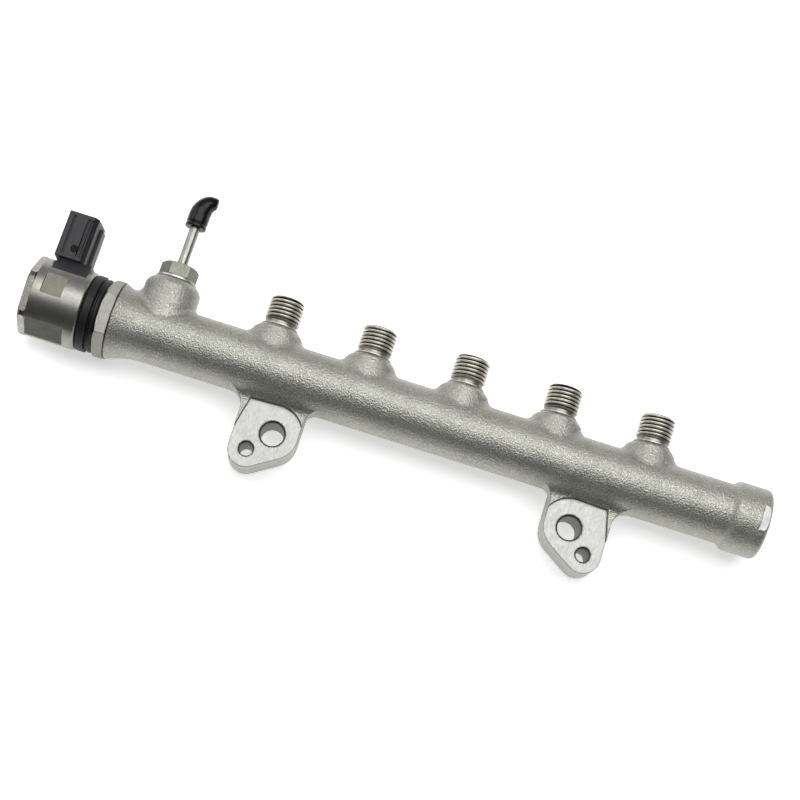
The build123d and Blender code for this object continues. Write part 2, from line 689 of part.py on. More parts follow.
with BuildPart() as connector_body:
    # moulding round the winding
    with BuildSketch(HALF):
        with BuildLine():
            Polyline((mould_left, sleeve_r + slip_fit), (mould_left, mould_r), (mould_right, mould_r),
                     (mould_right, sleeve_r + slip_fit), (mould_left, sleeve_r + slip_fit))
        make_face()
    revolve(axis=rail_axis)
    # saddle that fills the window of the can and carries the connector
    with BuildSketch(station(can_window_left + slip_fit)):
        with BuildLine():
            saddle_low = can_window_height + slip_fit
            saddle_half = math.sqrt(can_r ** 2 - saddle_low ** 2) - slip_fit
            Polyline((saddle_low, -saddle_half), (connector_foot, -saddle_front),
                     (connector_foot, saddle_front), (saddle_low, saddle_half),
                     (saddle_low, -saddle_half))
        make_face()
    extrude(amount=can_window_right - can_window_left - 2 * slip_fit)
    # connector shell, splayed towards the back, with its rear rib down to the saddle
    with BuildSketch(level(connector_foot)):
        with BuildLine():
            Polyline((connector_left, -connector_front),
                     (connector_right - connector_corner, -connector_front),
                     (connector_right, -connector_front + connector_corner),
                     (connector_right + connector_splay, -connector_back),
                     (connector_left, -connector_back), close=True)
        make_face()
        fillet(vertices(), connector_edge)
    extrude(amount=connector_top - connector_foot)
    with BuildSketch(level(saddle_low)):
        with Locations((connector_right + connector_splay + (latch_reach - connector_wall) / 2,
                        -connector_back - latch_depth / 2)):
            Rectangle(latch_reach + connector_wall, latch_depth)
    extrude(amount=latch_top - saddle_low)
    # plug socket
    with BuildSketch(level(connector_top)):
        with Locations(((connector_left + connector_right) / 2,
                        -(connector_front + connector_back) / 2)):
            RectangleRounded(connector_width - 2 * connector_wall,
                             connector_front - connector_back - 2 * connector_wall, 1.0)
    extrude(amount=-connector_socket_depth, mode=Mode.SUBTRACT)
    # key grooves and the round gate mark on the front
    with BuildSketch(RAIL.offset(connector_front)):
        for place in groove_places:
            with Locations((connector_left + place, (connector_foot + connector_top) / 2)):
                Rectangle(groove_width, connector_top - connector_foot - 2 * groove_margin)
    extrude(amount=-groove_depth, mode=Mode.SUBTRACT)
    with BuildSketch(RAIL.offset(connector_front)):
        with Locations((connector_left + gate_mark_from_left, gate_mark_height)):
            Circle(gate_mark_r)
    extrude(amount=-gate_mark_depth, mode=Mode.SUBTRACT)
    # space of the winding
    with BuildSketch(HALF):
        with BuildLine():
            Polyline((winding_left - seat_fit, winding_inner_r - seat_fit),
                     (winding_left - seat_fit, winding_outer_r + seat_fit),
                     (winding_right + seat_fit, winding_outer_r + seat_fit),
                     (winding_right + seat_fit, winding_inner_r - seat_fit),
                     (winding_left - seat_fit, winding_inner_r - seat_fit))
        make_face()
    revolve(axis=rail_axis, mode=Mode.SUBTRACT)
    # slots that hold the terminals
    with BuildSketch(level(socket_floor - terminal_root)):
        middle = (connector_front + connector_back) / 2
        for side in (-1, 1):
            with Locations(((connector_left + connector_right) / 2, -middle + side * terminal_pitch / 2)):
                Rectangle(terminal_width + 2 * seat_fit, terminal_thickness + 2 * seat_fit)
    extrude(amount=terminal_root, mode=Mode.SUBTRACT)
connector_body.part.label = "connector_body"
export_step(connector_body.part, "parts/connector_body.step")

with BuildPart() as connector_terminals:
    with BuildSketch(level(socket_floor - terminal_root)):
        for side in (-1, 1):
            with Locations(((connector_left + connector_right) / 2, -middle + side * terminal_pitch / 2)):
                Rectangle(terminal_width, terminal_thickness)
    extrude(amount=terminal_root + terminal_height)
    tips = connector_terminals.faces().filter_by(Axis.Y).group_by(Axis.Y)[-1].edges()
    chamfer(tips, terminal_thickness / 4)
connector_terminals.part.label = "connector_terminals"
export_step(connector_terminals.part, "parts/connector_terminals.step")

# ---------------------------------------------------------------- seals
with BuildPart() as rubber_ring:
    # weather seal between hexagon and can, in two bands
    with BuildSketch(HALF):
        with BuildLine():
            groove_middle = ring_left + ring_groove_place
            ring_start = ring_left + seat_fit
            ring_end = hex_left - seat_fit
            inner_r = shoulder_r + slip_fit
            waist_r = ring_r - ring_groove_depth
            Polyline((ring_start, inner_r), (ring_start, ring_r - ring_edge),
                     (ring_start + ring_edge, ring_r), (groove_middle - ring_groove_width, ring_r),
                     (groove_middle - ring_groove_width / 2, waist_r),
                     (groove_middle + ring_groove_width / 2, waist_r),
                     (groove_middle + ring_groove_width, ring_second_r),
                     (ring_end - ring_edge, ring_second_r), (ring_end, ring_second_r - ring_edge),
                     (ring_end, inner_r), (ring_start, inner_r))
        make_face()
    revolve(axis=rail_axis)
rubber_ring.part.label = "rubber_ring"
export_step(rubber_ring.part, "parts/rubber_ring.step")

with BuildPart() as o_ring:
    with BuildSketch(HALF):
        with Locations((groove_right - o_ring_section_r - seat_fit,
                        seal_groove_r + seat_fit + o_ring_section_r)):
            RegularPolygon(o_ring_section_r, 8, rotation=22.5)
    revolve(axis=rail_axis)
o_ring.part.label = "o_ring"
export_step(o_ring.part, "parts/o_ring.step")

with BuildPart() as support_ring:
    with BuildSketch(HALF):
        with BuildLine():
            support_left = groove_left + seat_fit
            support_right = support_left + support_ring_width
            support_in = seal_groove_r + seat_fit
            support_out = seal_bore_r - seat_fit
            Polyline((support_left, support_in), (support_left, support_out),
                     (support_right, support_out), (support_right, support_in),
                     (support_left, support_in))
        make_face()
    revolve(axis=rail_axis)
support_ring.part.label = "support_ring"
export_step(support_ring.part, "parts/support_ring.step")

# ---------------------------------------------------------------- return outlet
with BuildPart() as fitting_washer:
    with BuildSketch(level(boss_seat, return_x)):
        Circle(fitting_washer_r)
        Circle(return_thread_r + slip_fit, mode=Mode.SUBTRACT)
    extrude(amount=fitting_washer_thickness)
fitting_washer.part.label = "fitting_washer"
export_step(fitting_washer.part, "parts/fitting_washer.step")

with BuildPart() as return_fitting:
    # hexagon with both faces turned to a chamfer
    with BuildSketch(level(fitting_seat + fitting_neck_height, return_x)):
        RegularPolygon(fitting_hex / 2, 6, major_radius=False, rotation=fitting_turn)
    extrude(amount=fitting_hex_height)
    with BuildSketch(post(return_x)):
        with BuildLine():
            hex_low = fitting_seat + fitting_neck_height
            hex_r = fitting_hex / 2 / math.cos(math.radians(30))
            Polyline((0, hex_low), (hex_r, hex_low), (hex_r, fitting_top - fitting_chamfer),
                     (hex_r - 2 * fitting_chamfer, fitting_top), (0, fitting_top), (0, hex_low))
        make_face()
    revolve(axis=upright(return_x), mode=Mode.INTERSECT)
    # neck under the hexagon and threaded shank
    with BuildSketch(post(return_x)):
        with BuildLine():
            shank_low = fitting_seat - return_shank_length
            fitting_shank_r = return_thread_r - thread_fit
            Polyline((0, shank_low), (fitting_shank_r, shank_low), (fitting_shank_r, fitting_seat),
                     (fitting_neck_r, fitting_seat), (fitting_neck_r, hex_low + 1), (0, hex_low + 1),
                     (0, shank_low))
        make_face()
    revolve(axis=upright(return_x))
    # brazing socket and passage
    with BuildSketch(post(return_x)):
        with BuildLine():
            tube_seat = fitting_top - return_tube_seat
            Polyline((0, shank_low), (return_tube_bore_r, shank_low), (return_tube_bore_r, tube_seat),
                     (return_tube_r + slip_fit, tube_seat), (return_tube_r + slip_fit, fitting_top),
                     (0, fitting_top), (0, shank_low))
        make_face()
    revolve(axis=upright(return_x), mode=Mode.SUBTRACT)
return_fitting.part.label = "return_fitting"
export_step(return_fitting.part, "parts/return_fitting.step")

with BuildPart() as return_tube:
    with BuildSketch(level(tube_seat, return_x)):
        Circle(return_tube_r)
        Circle(return_tube_bore_r, mode=Mode.SUBTRACT)
    extrude(amount=return_tube_top - tube_seat)
return_tube.part.label = "return_tube"
export_step(return_tube.part, "parts/return_tube.step")

with BuildPart() as tube_cap:
    # rubber cap: straight sleeve that bends over into a closed nose
    with BuildSketch(level(cap_bottom, return_x)):
        Circle(cap_r)
    extrude(amount=cap_bend_height - cap_bottom)
    bend_turn = Plane(origin=(return_x + cap_bend_out, rail_y + cap_bend_up, rail_z),
                      x_dir=(0, 0, 1), z_dir=(1, 1, 0))
    nose_end_plane = Plane(origin=(return_x + cap_tip_reach, rail_y + cap_tip_height, rail_z),
                           x_dir=(0, 0, 1), z_dir=(1, 0, 0))
    with BuildSketch(Plane(origin=(return_x, rail_y + cap_bend_height, rail_z),
                           x_dir=(0, 0, 1), z_dir=(0, 1, 0))):
        Circle(cap_r)
    with BuildSketch(bend_turn):
        Circle(cap_bend_r)
    with BuildSketch(nose_end_plane):
        Circle(cap_tip_r)
    loft()
    with BuildSketch(level(cap_bottom, return_x)):
        Circle(return_tube_r + slip_fit)
    extrude(amount=return_tube_top + seat_fit - cap_bottom, mode=Mode.SUBTRACT)
tube_cap.part.label = "tube_cap"
export_step(tube_cap.part, "parts/tube_cap.step")
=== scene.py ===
"""Fuel rail with its pressure control valve: pieces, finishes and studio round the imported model."""
import math

import bmesh
import bpy
from mathutils import Matrix, Vector


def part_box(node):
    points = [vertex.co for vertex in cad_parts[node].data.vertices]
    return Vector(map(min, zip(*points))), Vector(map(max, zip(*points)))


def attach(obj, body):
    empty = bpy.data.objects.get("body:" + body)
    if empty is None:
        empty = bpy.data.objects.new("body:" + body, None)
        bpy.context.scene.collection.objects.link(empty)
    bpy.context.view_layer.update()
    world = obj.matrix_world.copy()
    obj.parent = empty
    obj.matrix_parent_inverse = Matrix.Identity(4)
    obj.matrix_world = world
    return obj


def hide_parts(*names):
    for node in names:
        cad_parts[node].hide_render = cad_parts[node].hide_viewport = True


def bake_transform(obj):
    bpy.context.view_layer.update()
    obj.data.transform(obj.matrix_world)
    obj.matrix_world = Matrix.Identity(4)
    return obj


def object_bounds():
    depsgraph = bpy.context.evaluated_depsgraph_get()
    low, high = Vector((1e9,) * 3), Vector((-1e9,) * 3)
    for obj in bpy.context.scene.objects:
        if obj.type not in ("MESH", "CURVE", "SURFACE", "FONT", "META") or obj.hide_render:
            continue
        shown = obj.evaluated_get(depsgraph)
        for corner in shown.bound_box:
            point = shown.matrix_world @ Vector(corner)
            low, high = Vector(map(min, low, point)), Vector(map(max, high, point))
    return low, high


bl_info = {
    "name": "Fuel Rail",
    "version": (1, 0, 0),
    "blender": (4, 5, 0),
    "location": "3D View > Sidebar > Fuel Rail",
    "description": "Builds a forged fuel rail with its threaded ports, control valve "
                   "and return outlet",
    "category": "Add Mesh",
}

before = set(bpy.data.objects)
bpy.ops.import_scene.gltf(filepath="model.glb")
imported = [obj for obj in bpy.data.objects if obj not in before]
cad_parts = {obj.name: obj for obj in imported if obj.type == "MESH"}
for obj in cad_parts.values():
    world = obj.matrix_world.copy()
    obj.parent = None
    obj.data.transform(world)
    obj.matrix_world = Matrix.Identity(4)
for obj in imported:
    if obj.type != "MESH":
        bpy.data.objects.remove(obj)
CAD_BOX = [list(corner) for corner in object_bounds()]
MM = 0.001

# ---------------------------------------------------------------- sizes and places on the rail
RAIL_Y = 24.0 * MM              # the rail's axis
RAIL_Z = 13.0 * MM
RAIL_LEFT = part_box("rail_body")[0][0]
TUBE_R = 12.0 * MM
TUBE_SKIN_R = TUBE_R - 0.6 * MM     # what lies further out is the rail's skin
PORT_FIRST_X = -69.5 * MM
PORT_PITCH = 37.7 * MM
PORT_COUNT = 5
PORT_HALF_WIDTH = 10 * MM
RAMP_ZONE_X = 100 * MM          # the ramp to the right end's boss lies beyond it
RAMP_STARTS = (104 * MM, 112 * MM)
RAMP_ENDS = (123 * MM, 117 * MM)
BORE_ZONE_X = 100 * MM          # the wide bores of both ends lie beyond it
BORED_WITHIN = 10.9 * MM        # and what is nearer to the axis there is a bore's wall
END_FACE_X = 120 * MM           # both end faces lie beyond it
END_FLAT_X = 125.5 * MM         # the indexing flat on the right end's rim lies beyond it
END_FLAT_R = 11 * MM            # and further from the axis than this
SEAT_TOP = 15.0 * MM            # milled face under the bolt heads; the seat is at nought
# X and Y of the lugs' holes, and a radius just outside their chamfers
LUG_HOLES = ((59.2 * MM, 0, 5.35 * MM), (66.95 * MM, -8.4 * MM, 3.3 * MM))
GATE_X = -153.4 * MM            # round mark on the connector
GATE_Y = RAIL_Y + 20.5 * MM
GATE_R = 1.5 * MM
RETURN_X = -113.4 * MM
# heights above the rail's axis
BOSS_TOP = 16.6 * MM
PORT_NECK_LOW = 17.3 * MM
PORT_NECK_HIGH = 18.7 * MM
PORT_TIP = 28.4 * MM
FITTING_NECK_TOP = 23.25 * MM
# where the swelling of a port's boss fades: height above the rail's axis, then distance from
# the port's axis, measured round the tube
SWELL_HEIGHT = (16.2 * MM, 14.2 * MM)
SWELL_REACH = (16.5 * MM, 10.5 * MM)
SWELL_LIMIT = 18 * MM

HIDDEN_STEEL = ("armature", "armature_pin", "valve_ball", "valve_seat", "inlet_filter", "pole_core")
FACING = "facing"               # corner attribute that carries the CAD's exact directions
WELD = 2e-7                     # corners nearer than this are one

# ---------------------------------------------------------------- studio
FLOOR_HALF = 16.0
FLOOR_GLOW = 0.53               # light of its own, for the camera and for reflections only
FRONT_GREY = (0.07, 0.07, 0.07, 1)
BACK_GREY = (0.34, 0.34, 0.345, 1)
# name, place, width and height in metres, power in watts
LAMPS = (("Main lamp", (0.12, 0.38, 1.23), 1.6, 0.95, 15.5),
         ("Side lamp", (-1.05, 0.35, 0.6), 0.6, 0.6, 2.6))
CENTRE_X = -16.8 * MM           # the lamps and the camera look here, on the rail's axis
AIM_RISE = 4.1 * MM             # the camera aims this far above the axis
SENSOR_WIDTH = 36.0
FOCAL_PIXELS = 1690             # focal length in pixels of an 800 pixel frame
FRAME_PIXELS = 800


# ---------------------------------------------------------------- shader helpers
def new_material(name):
    """An empty node material with its output and one Principled shader."""
    material = bpy.data.materials.new(name)
    material.use_nodes = True
    tree = material.node_tree
    tree.nodes.clear()
    output = tree.nodes.new("ShaderNodeOutputMaterial")
    shader = tree.nodes.new("ShaderNodeBsdfPrincipled")
    tree.links.new(shader.outputs["BSDF"], output.inputs["Surface"])
    return material, tree, shader


def plug(tree, value, socket):
    """Links an output, or sets a plain value."""
    if isinstance(value, bpy.types.NodeSocket):
        tree.links.new(value, socket)
    else:
        socket.default_value = value


def object_place(tree, stretch=(1, 1, 1), turn=(0, 0, 0), shift=(0, 0, 0)):
    """The point on the piece, in metres, stretched for a pattern that runs one way."""
    place = tree.nodes.new("ShaderNodeTexCoord")
    mapping = tree.nodes.new("ShaderNodeMapping")
    mapping.inputs["Scale"].default_value = stretch
    mapping.inputs["Rotation"].default_value = turn
    mapping.inputs["Location"].default_value = shift
    tree.links.new(place.outputs["Object"], mapping.inputs["Vector"])
    return mapping.outputs["Vector"]


def parts_of(tree, coordinates):
    """X, Y and Z of one of the texture coordinates."""
    place = tree.nodes.new("ShaderNodeTexCoord")
    parts = tree.nodes.new("ShaderNodeSeparateXYZ")
    tree.links.new(place.outputs[coordinates], parts.inputs[0])
    return parts.outputs


def noise(tree, where, size, detail=3.0, roughness=0.55):
    """Noise whose largest lumps are about the given size, in metres."""
    texture = tree.nodes.new("ShaderNodeTexNoise")
    texture.inputs["Scale"].default_value = 1 / size
    texture.inputs["Detail"].default_value = detail
    texture.inputs["Roughness"].default_value = roughness
    tree.links.new(where, texture.inputs["Vector"])
    return texture.outputs["Fac"]


def spots(tree, where, size):
    """Distance to scattered points, for pits."""
    texture = tree.nodes.new("ShaderNodeTexVoronoi")
    texture.inputs["Scale"].default_value = 1 / size
    tree.links.new(where, texture.inputs["Vector"])
    return texture.outputs["Distance"]


def ranged(tree, value, low, high, to_low, to_high):
    """Maps a value from one range to another, clamped."""
    span = tree.nodes.new("ShaderNodeMapRange")
    for name, number in (("From Min", low), ("From Max", high),
                         ("To Min", to_low), ("To Max", to_high)):
        span.inputs[name].default_value = number
    tree.links.new(value, span.inputs["Value"])
    return span.outputs["Result"]


def mixed(tree, share, first, second):
    """Mixes two colours by a share."""
    mix = tree.nodes.new("ShaderNodeMix")
    mix.data_type = "RGBA"
    plug(tree, share, mix.inputs[0])
    plug(tree, first, mix.inputs[6])
    plug(tree, second, mix.inputs[7])
    return mix.outputs[2]


def arithmetic(tree, operation, first, second=0.0):
    """One step of arithmetic on one or two values."""
    step = tree.nodes.new("ShaderNodeMath")
    step.operation = operation
    plug(tree, first, step.inputs[0])
    plug(tree, second, step.inputs[1])
    return step.outputs[0]


def relief(tree, height, depth, strength=1.0, below=None):
    """A bump of the given depth in metres, on top of another one if there is one."""
    bump = tree.nodes.new("ShaderNodeBump")
    bump.inputs["Distance"].default_value = depth
    bump.inputs["Strength"].default_value = strength
    tree.links.new(height, bump.inputs["Height"])
    if below is not None:
        tree.links.new(below, bump.inputs["Normal"])
    return bump.outputs["Normal"]


def shade(colour, factor):
    """The colour, lighter or darker."""
    return (*[min(1.0, part * factor) for part in colour[:3]], 1.0)


def cloudy(tree, clouds, colour, dark, light):
    """The colour, mottled by slow noise between two factors."""
    return mixed(tree, ranged(tree, clouds, 0.3, 0.7, 0, 1), shade(colour, dark),
                 shade(colour, light))


def edge_highlighted(tree, tone, colour, share, low=0.52, high=0.60):
    """The tone, with the given colour on convex edges: a painted highlight."""
    geometry = tree.nodes.new("ShaderNodeNewGeometry")
    edges = ranged(tree, geometry.outputs["Pointiness"], low, high, 0, 1)
    return mixed(tree, arithmetic(tree, "MULTIPLY", edges, share), tone, colour)


def distance_from_port(tree):
    """Distance from the axis of the nearest spigot."""
    parts = parts_of(tree, "Object")
    along = arithmetic(tree, "SUBTRACT", parts["X"], PORT_FIRST_X - PORT_PITCH / 2)
    along = arithmetic(tree, "FLOORED_MODULO", along, PORT_PITCH)
    along = arithmetic(tree, "SUBTRACT", along, PORT_PITCH / 2)
    across = arithmetic(tree, "SUBTRACT", parts["Z"], RAIL_Z)
    squares = [arithmetic(tree, "MULTIPLY", side, side) for side in (along, across)]
    return arithmetic(tree, "SQRT", arithmetic(tree, "ADD", *squares))


# ---------------------------------------------------------------- finishes
def metal(name, colour, roughness, grain=0.3 * MM, depth=0.01 * MM, stretch=(1, 1, 1),
          turn=(0, 0, 0), mottle=0.08, mottle_size=6 * MM, spread=0.08, edge=0.0, stain=None):
    """Metal with a grain or drawn lines, cloudy tone and convex edges lighter as a painted highlight.
    """
    material, tree, shader = new_material(name)
    clouds = noise(tree, object_place(tree), mottle_size, 4.0)
    lines = noise(tree, object_place(tree, stretch, turn), grain, 2.0)
    tone = cloudy(tree, clouds, colour, 1 - mottle, 1 + mottle)
    tone = mixed(tree, ranged(tree, lines, 0.35, 0.65, 0, 0.35), tone, shade(colour, 0.72))
    if stain:
        blots = noise(tree, object_place(tree, shift=(0.3, 0.1, 0.2)), 2.2 * mottle_size, 5.0)
        tone = mixed(tree, ranged(tree, blots, 0.52, 0.68, 0, 0.55), tone, stain)
    # painted highlight: convex edges lighter
    if edge:
        tone = edge_highlighted(tree, tone, shade(colour, 1.35), edge)
    plug(tree, tone, shader.inputs["Base Color"])
    shader.inputs["Metallic"].default_value = 1.0
    plug(tree, ranged(tree, lines, 0.3, 0.7, roughness - spread, roughness + spread),
         shader.inputs["Roughness"])
    plug(tree, relief(tree, lines, depth), shader.inputs["Normal"])
    return material


def blasted_metal(name, colour, roughness):
    """Shot-blasted and plated forging: fine pits and painted glints over a soft uneven tone."""
    material, tree, shader = new_material(name)
    place = object_place(tree)
    clouds = noise(tree, place, 9 * MM, 5.0)
    grain = noise(tree, place, 0.55 * MM, 3.0, 0.7)
    pits = spots(tree, place, 0.7 * MM)
    tone = cloudy(tree, clouds, colour, 0.88, 1.08)
    tone = mixed(tree, ranged(tree, grain, 0.3, 0.7, 0.5, 0), tone, shade(colour, 0.62))
    # painted highlight: scattered specks lighter than the forging stand in for glints
    painted_glints = noise(tree, object_place(tree, shift=(0.2, 0.4, 0.1)), 0.5 * MM, 1.0)
    tone = mixed(tree, ranged(tree, painted_glints, 0.6, 0.68, 0, 0.9), tone, shade(colour, 1.5))
    # painted highlight on convex edges
    tone = edge_highlighted(tree, tone, shade(colour, 1.3), 0.5, 0.53, 0.63)
    # a dark line of painted shade where the valve's hexagon meets the forging
    painted_seam_shade = ranged(tree, parts_of(tree, "Object")["X"], RAIL_LEFT + 0.45 * MM,
                  RAIL_LEFT + 0.9 * MM, 0.95, 0)
    tone = mixed(tree, painted_seam_shade, tone, shade(colour, 0.1))
    plug(tree, tone, shader.inputs["Base Color"])
    shader.inputs["Metallic"].default_value = 1.0
    plug(tree, ranged(tree, grain, 0.3, 0.7, roughness + 0.12, roughness - 0.1),
         shader.inputs["Roughness"])
    forged = relief(tree, noise(tree, place, 3.5 * MM, 3.0), 0.12 * MM)
    beaten = relief(tree, pits, 0.15 * MM, 0.9, forged)
    plug(tree, relief(tree, grain, 0.15 * MM, 1.0, beaten), shader.inputs["Normal"])
    return material


def threaded_metal(name, colour):
    """Rolled thread: bright crests over roots darkened as painted shade."""
    material, tree, shader = new_material(name)
    sizes = bpy.context.scene.fuel_rail_thread
    root = sizes.major_radius - sizes.depth
    out = distance_from_port(tree)
    place = object_place(tree)
    # painted shade: the thread's roots are near black, its crests keep the colour
    crest = ranged(tree, out, root + 0.22 * MM, root + 0.50 * MM, 0, 1)
    tone = mixed(tree, crest, (0.035, 0.033, 0.028, 1), colour)
    # the bore inside the roots, and less so the neck below the thread, take a half-dark tone instead
    # of the painted root shade
    inside = ranged(tree, out, root - 0.12 * MM, root - 0.04 * MM, 1, 0)
    low = ranged(tree, parts_of(tree, "Object")["Y"], RAIL_Y + 18.8 * MM, RAIL_Y + 20.0 * MM,
                 0.7, 0)
    tone = mixed(tree, arithmetic(tree, "MAXIMUM", inside, low), tone, shade(colour, 0.5))
    clouds = ranged(tree, noise(tree, place, 2.5 * MM, 3.0), 0.3, 0.7, 0.88, 1.1)
    shaded = tree.nodes.new("ShaderNodeVectorMath")
    shaded.operation = "SCALE"
    tree.links.new(tone, shaded.inputs[0])
    tree.links.new(clouds, shaded.inputs["Scale"])
    plug(tree, shaded.outputs[0], shader.inputs["Base Color"])
    shader.inputs["Metallic"].default_value = 1.0
    plug(tree, ranged(tree, noise(tree, place, 1.2 * MM), 0.3, 0.7, 0.36, 0.48),
         shader.inputs["Roughness"])
    rolled = noise(tree, object_place(tree, (0.1, 1, 0.1)), 0.6 * MM)
    plug(tree, relief(tree, rolled, 0.004 * MM), shader.inputs["Normal"])
    return material


def moulded(name, colour, roughness, grain=0.35 * MM, depth=0.006 * MM, gloss=0.5, wrinkles=0.0):
    """Moulded plastic or rubber with a fine matt skin, a little dust and a painted highlight on its
    edges.
    """
    material, tree, shader = new_material(name)
    place = object_place(tree)
    skin = noise(tree, place, grain, 3.0)
    tone = cloudy(tree, noise(tree, place, 5 * MM, 4.0), colour, 0.9, 1.1)
    dust = noise(tree, object_place(tree, shift=(0.1, 0.3, 0.2)), 0.4 * MM, 2.0)
    tone = mixed(tree, ranged(tree, dust, 0.66, 0.74, 0, 0.06), tone, (0.3, 0.3, 0.3, 1))
    # painted highlight on convex edges
    tone = edge_highlighted(tree, tone, shade(colour, 2.4), 0.35)
    plug(tree, tone, shader.inputs["Base Color"])
    plug(tree, ranged(tree, skin, 0.3, 0.7, roughness - 0.06, roughness + 0.06),
         shader.inputs["Roughness"])
    shader.inputs["Specular IOR Level"].default_value = gloss
    folds = relief(tree, noise(tree, place, 3.2 * MM, 1.0), wrinkles) if wrinkles else None
    plug(tree, relief(tree, skin, depth, below=folds), shader.inputs["Normal"])
    return material


def make_finishes():
    """Every finish of the rail, by the name of what wears it."""
    settings = bpy.context.scene.fuel_rail_finish
    body = tuple(settings.body_colour)
    steel = tuple(settings.steel_colour)
    black = tuple(settings.plastic_colour)
    return {
        "forging": blasted_metal("Blasted forging", body, 0.47),
        "milled": metal("Milled face", (0.48, 0.48, 0.465, 1), 0.55, 0.45 * MM, 0.003 * MM,
                        (1, 0.3, 1), (0, 0, 0.6), 0.04, 5 * MM, 0.05, 0.4),
        # painted shade: the bore walls wear the forging's colour darkened to 0.4, for the dark inside
        # of the holes and bores
        "bored": metal("Bored wall", shade(body, 0.4), 0.4, 0.25 * MM, 0.01 * MM, edge=0.8),
        "turned": threaded_metal("Turned thread", (0.74, 0.715, 0.64, 1)),
        "hexagon": metal("Satin hexagon", shade(steel, 0.46), 0.4, 0.3 * MM, 0.004 * MM,
                         (1, 0.15, 0.15), mottle=0.07, edge=0.9),
        "can": metal("Drawn can", (0.30, 0.295, 0.27, 1), 0.38, 0.35 * MM, 0.002 * MM,
                     (0.12, 1, 1), mottle=0.12, mottle_size=4 * MM, spread=0.04, edge=0.8,
                     stain=(0.20, 0.17, 0.12, 1)),
        "stamped": metal("Stamped field", (0.19, 0.185, 0.155, 1), 0.42, 0.4 * MM, 0.003 * MM,
                         (1, 0.5, 0.5), mottle=0.1, mottle_size=3 * MM, edge=0.6,
                         stain=(0.12, 0.10, 0.07, 1)),
        "pressed": metal("Pressed flat", (0.08, 0.08, 0.07, 1), 0.4, 0.4 * MM, 0.003 * MM,
                         (0.12, 1, 1), mottle=0.2, mottle_size=4 * MM, edge=0.6),
        "cover": metal("Stamped cover", (0.11, 0.11, 0.092, 1), 0.42, 0.3 * MM, 0.005 * MM,
                       (1, 0.3, 0.3), mottle=0.16, edge=1.0),
        "sheared": metal("Sheared flat", (0.42, 0.41, 0.37, 1), 0.45, 0.3 * MM, 0.03 * MM,
                         (0.15, 1, 1), mottle=0.3, mottle_size=1.2 * MM, edge=0.5),
        "fitting": metal("Plated fitting", (0.19, 0.195, 0.16, 1), 0.46, 0.3 * MM, 0.006 * MM,
                         (1, 0.15, 1), mottle=0.12, edge=0.9),
        # painted shade: the return fitting's neck under its hexagon, near black
        "neck_shade": metal("Painted neck shade", (0.03, 0.03, 0.027, 1), 0.7, 0.3 * MM, 0.004 * MM, mottle=0.1),
        "washer": metal("Bright washer", (0.5, 0.5, 0.48, 1), 0.45, 0.3 * MM, 0.004 * MM,
                        edge=0.4),
        "tube": metal("Drawn tube", (0.28, 0.28, 0.25, 1), 0.36, 0.4 * MM, 0.004 * MM,
                      (1, 0.05, 1), mottle=0.2, mottle_size=2 * MM, edge=0.3),
        "hidden_steel": metal("Inner steel", (0.5, 0.5, 0.5, 1), 0.35, 0.2 * MM, 0.006 * MM,
                              (1, 0.1, 0.1)),
        "winding": metal("Copper winding", (0.72, 0.36, 0.2, 1), 0.35, 0.5 * MM, 0.08 * MM,
                         (1, 0.02, 0.02)),
        "terminal": metal("Tinned terminal", (0.78, 0.75, 0.66, 1), 0.3, 0.15 * MM, 0.006 * MM,
                          (1, 0.1, 1)),
        "plastic": moulded("Black moulding", black, 0.42, gloss=0.3),
        "gate": moulded("Gate mark", shade(black, 0.35), 0.6, gloss=0.15),
        "rubber": moulded("Black rubber", (0.010, 0.010, 0.011, 1), 0.5, 0.4 * MM, gloss=0.3),
        "cap": moulded("Smooth rubber cap", (0.004, 0.004, 0.005, 1), 0.24, 0.8 * MM, 0.01 * MM,
                       gloss=0.22, wrinkles=0.35 * MM),
        "ptfe": moulded("White support ring", (0.8, 0.79, 0.75, 1), 0.45),
    }


def worn(*names):
    """The materials of these finishes."""
    finishes = bpy.context.scene["fuel_rail_finishes"]
    return [bpy.data.materials[finishes[name]] for name in names]


# ---------------------------------------------------------------- mesh helpers
def merged_copy(node):
    """The CAD node's mesh as a bmesh with shared corners; FACING keeps its exact directions."""
    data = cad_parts[node].data.copy()
    directions = [0.0] * (3 * len(data.loops))
    data.corner_normals.foreach_get("vector", directions)
    kept = data.attributes.new(FACING, "FLOAT_VECTOR", "CORNER")
    kept.data.foreach_set("vector", directions)
    mesh = bmesh.new()
    mesh.from_mesh(data)
    bpy.data.meshes.remove(data)
    bmesh.ops.remove_doubles(mesh, verts=mesh.verts, dist=WELD)
    return mesh


def rounded(mesh, width, least_angle=math.radians(25)):
    """Rounds the sharp edges; the new strips blend into the exact directions beside them."""
    facing = mesh.loops.layers.float_vector[FACING]
    edges = [edge for edge in mesh.edges
             if len(edge.link_faces) == 2 and edge.calc_face_angle() > least_angle]
    made = bmesh.ops.bevel(mesh, geom=edges, offset=width, offset_type="OFFSET", segments=2,
                           profile=0.5, affect="EDGES", clamp_overlap=False)
    strips = set(made["faces"])
    mesh.normal_update()
    for face in strips:
        for loop in face.loops:
            beside = [other[facing] for other in loop.vert.link_loops
                      if other.face not in strips]
            loop[facing] = sum(beside, Vector()).normalized() if beside else loop.vert.normal


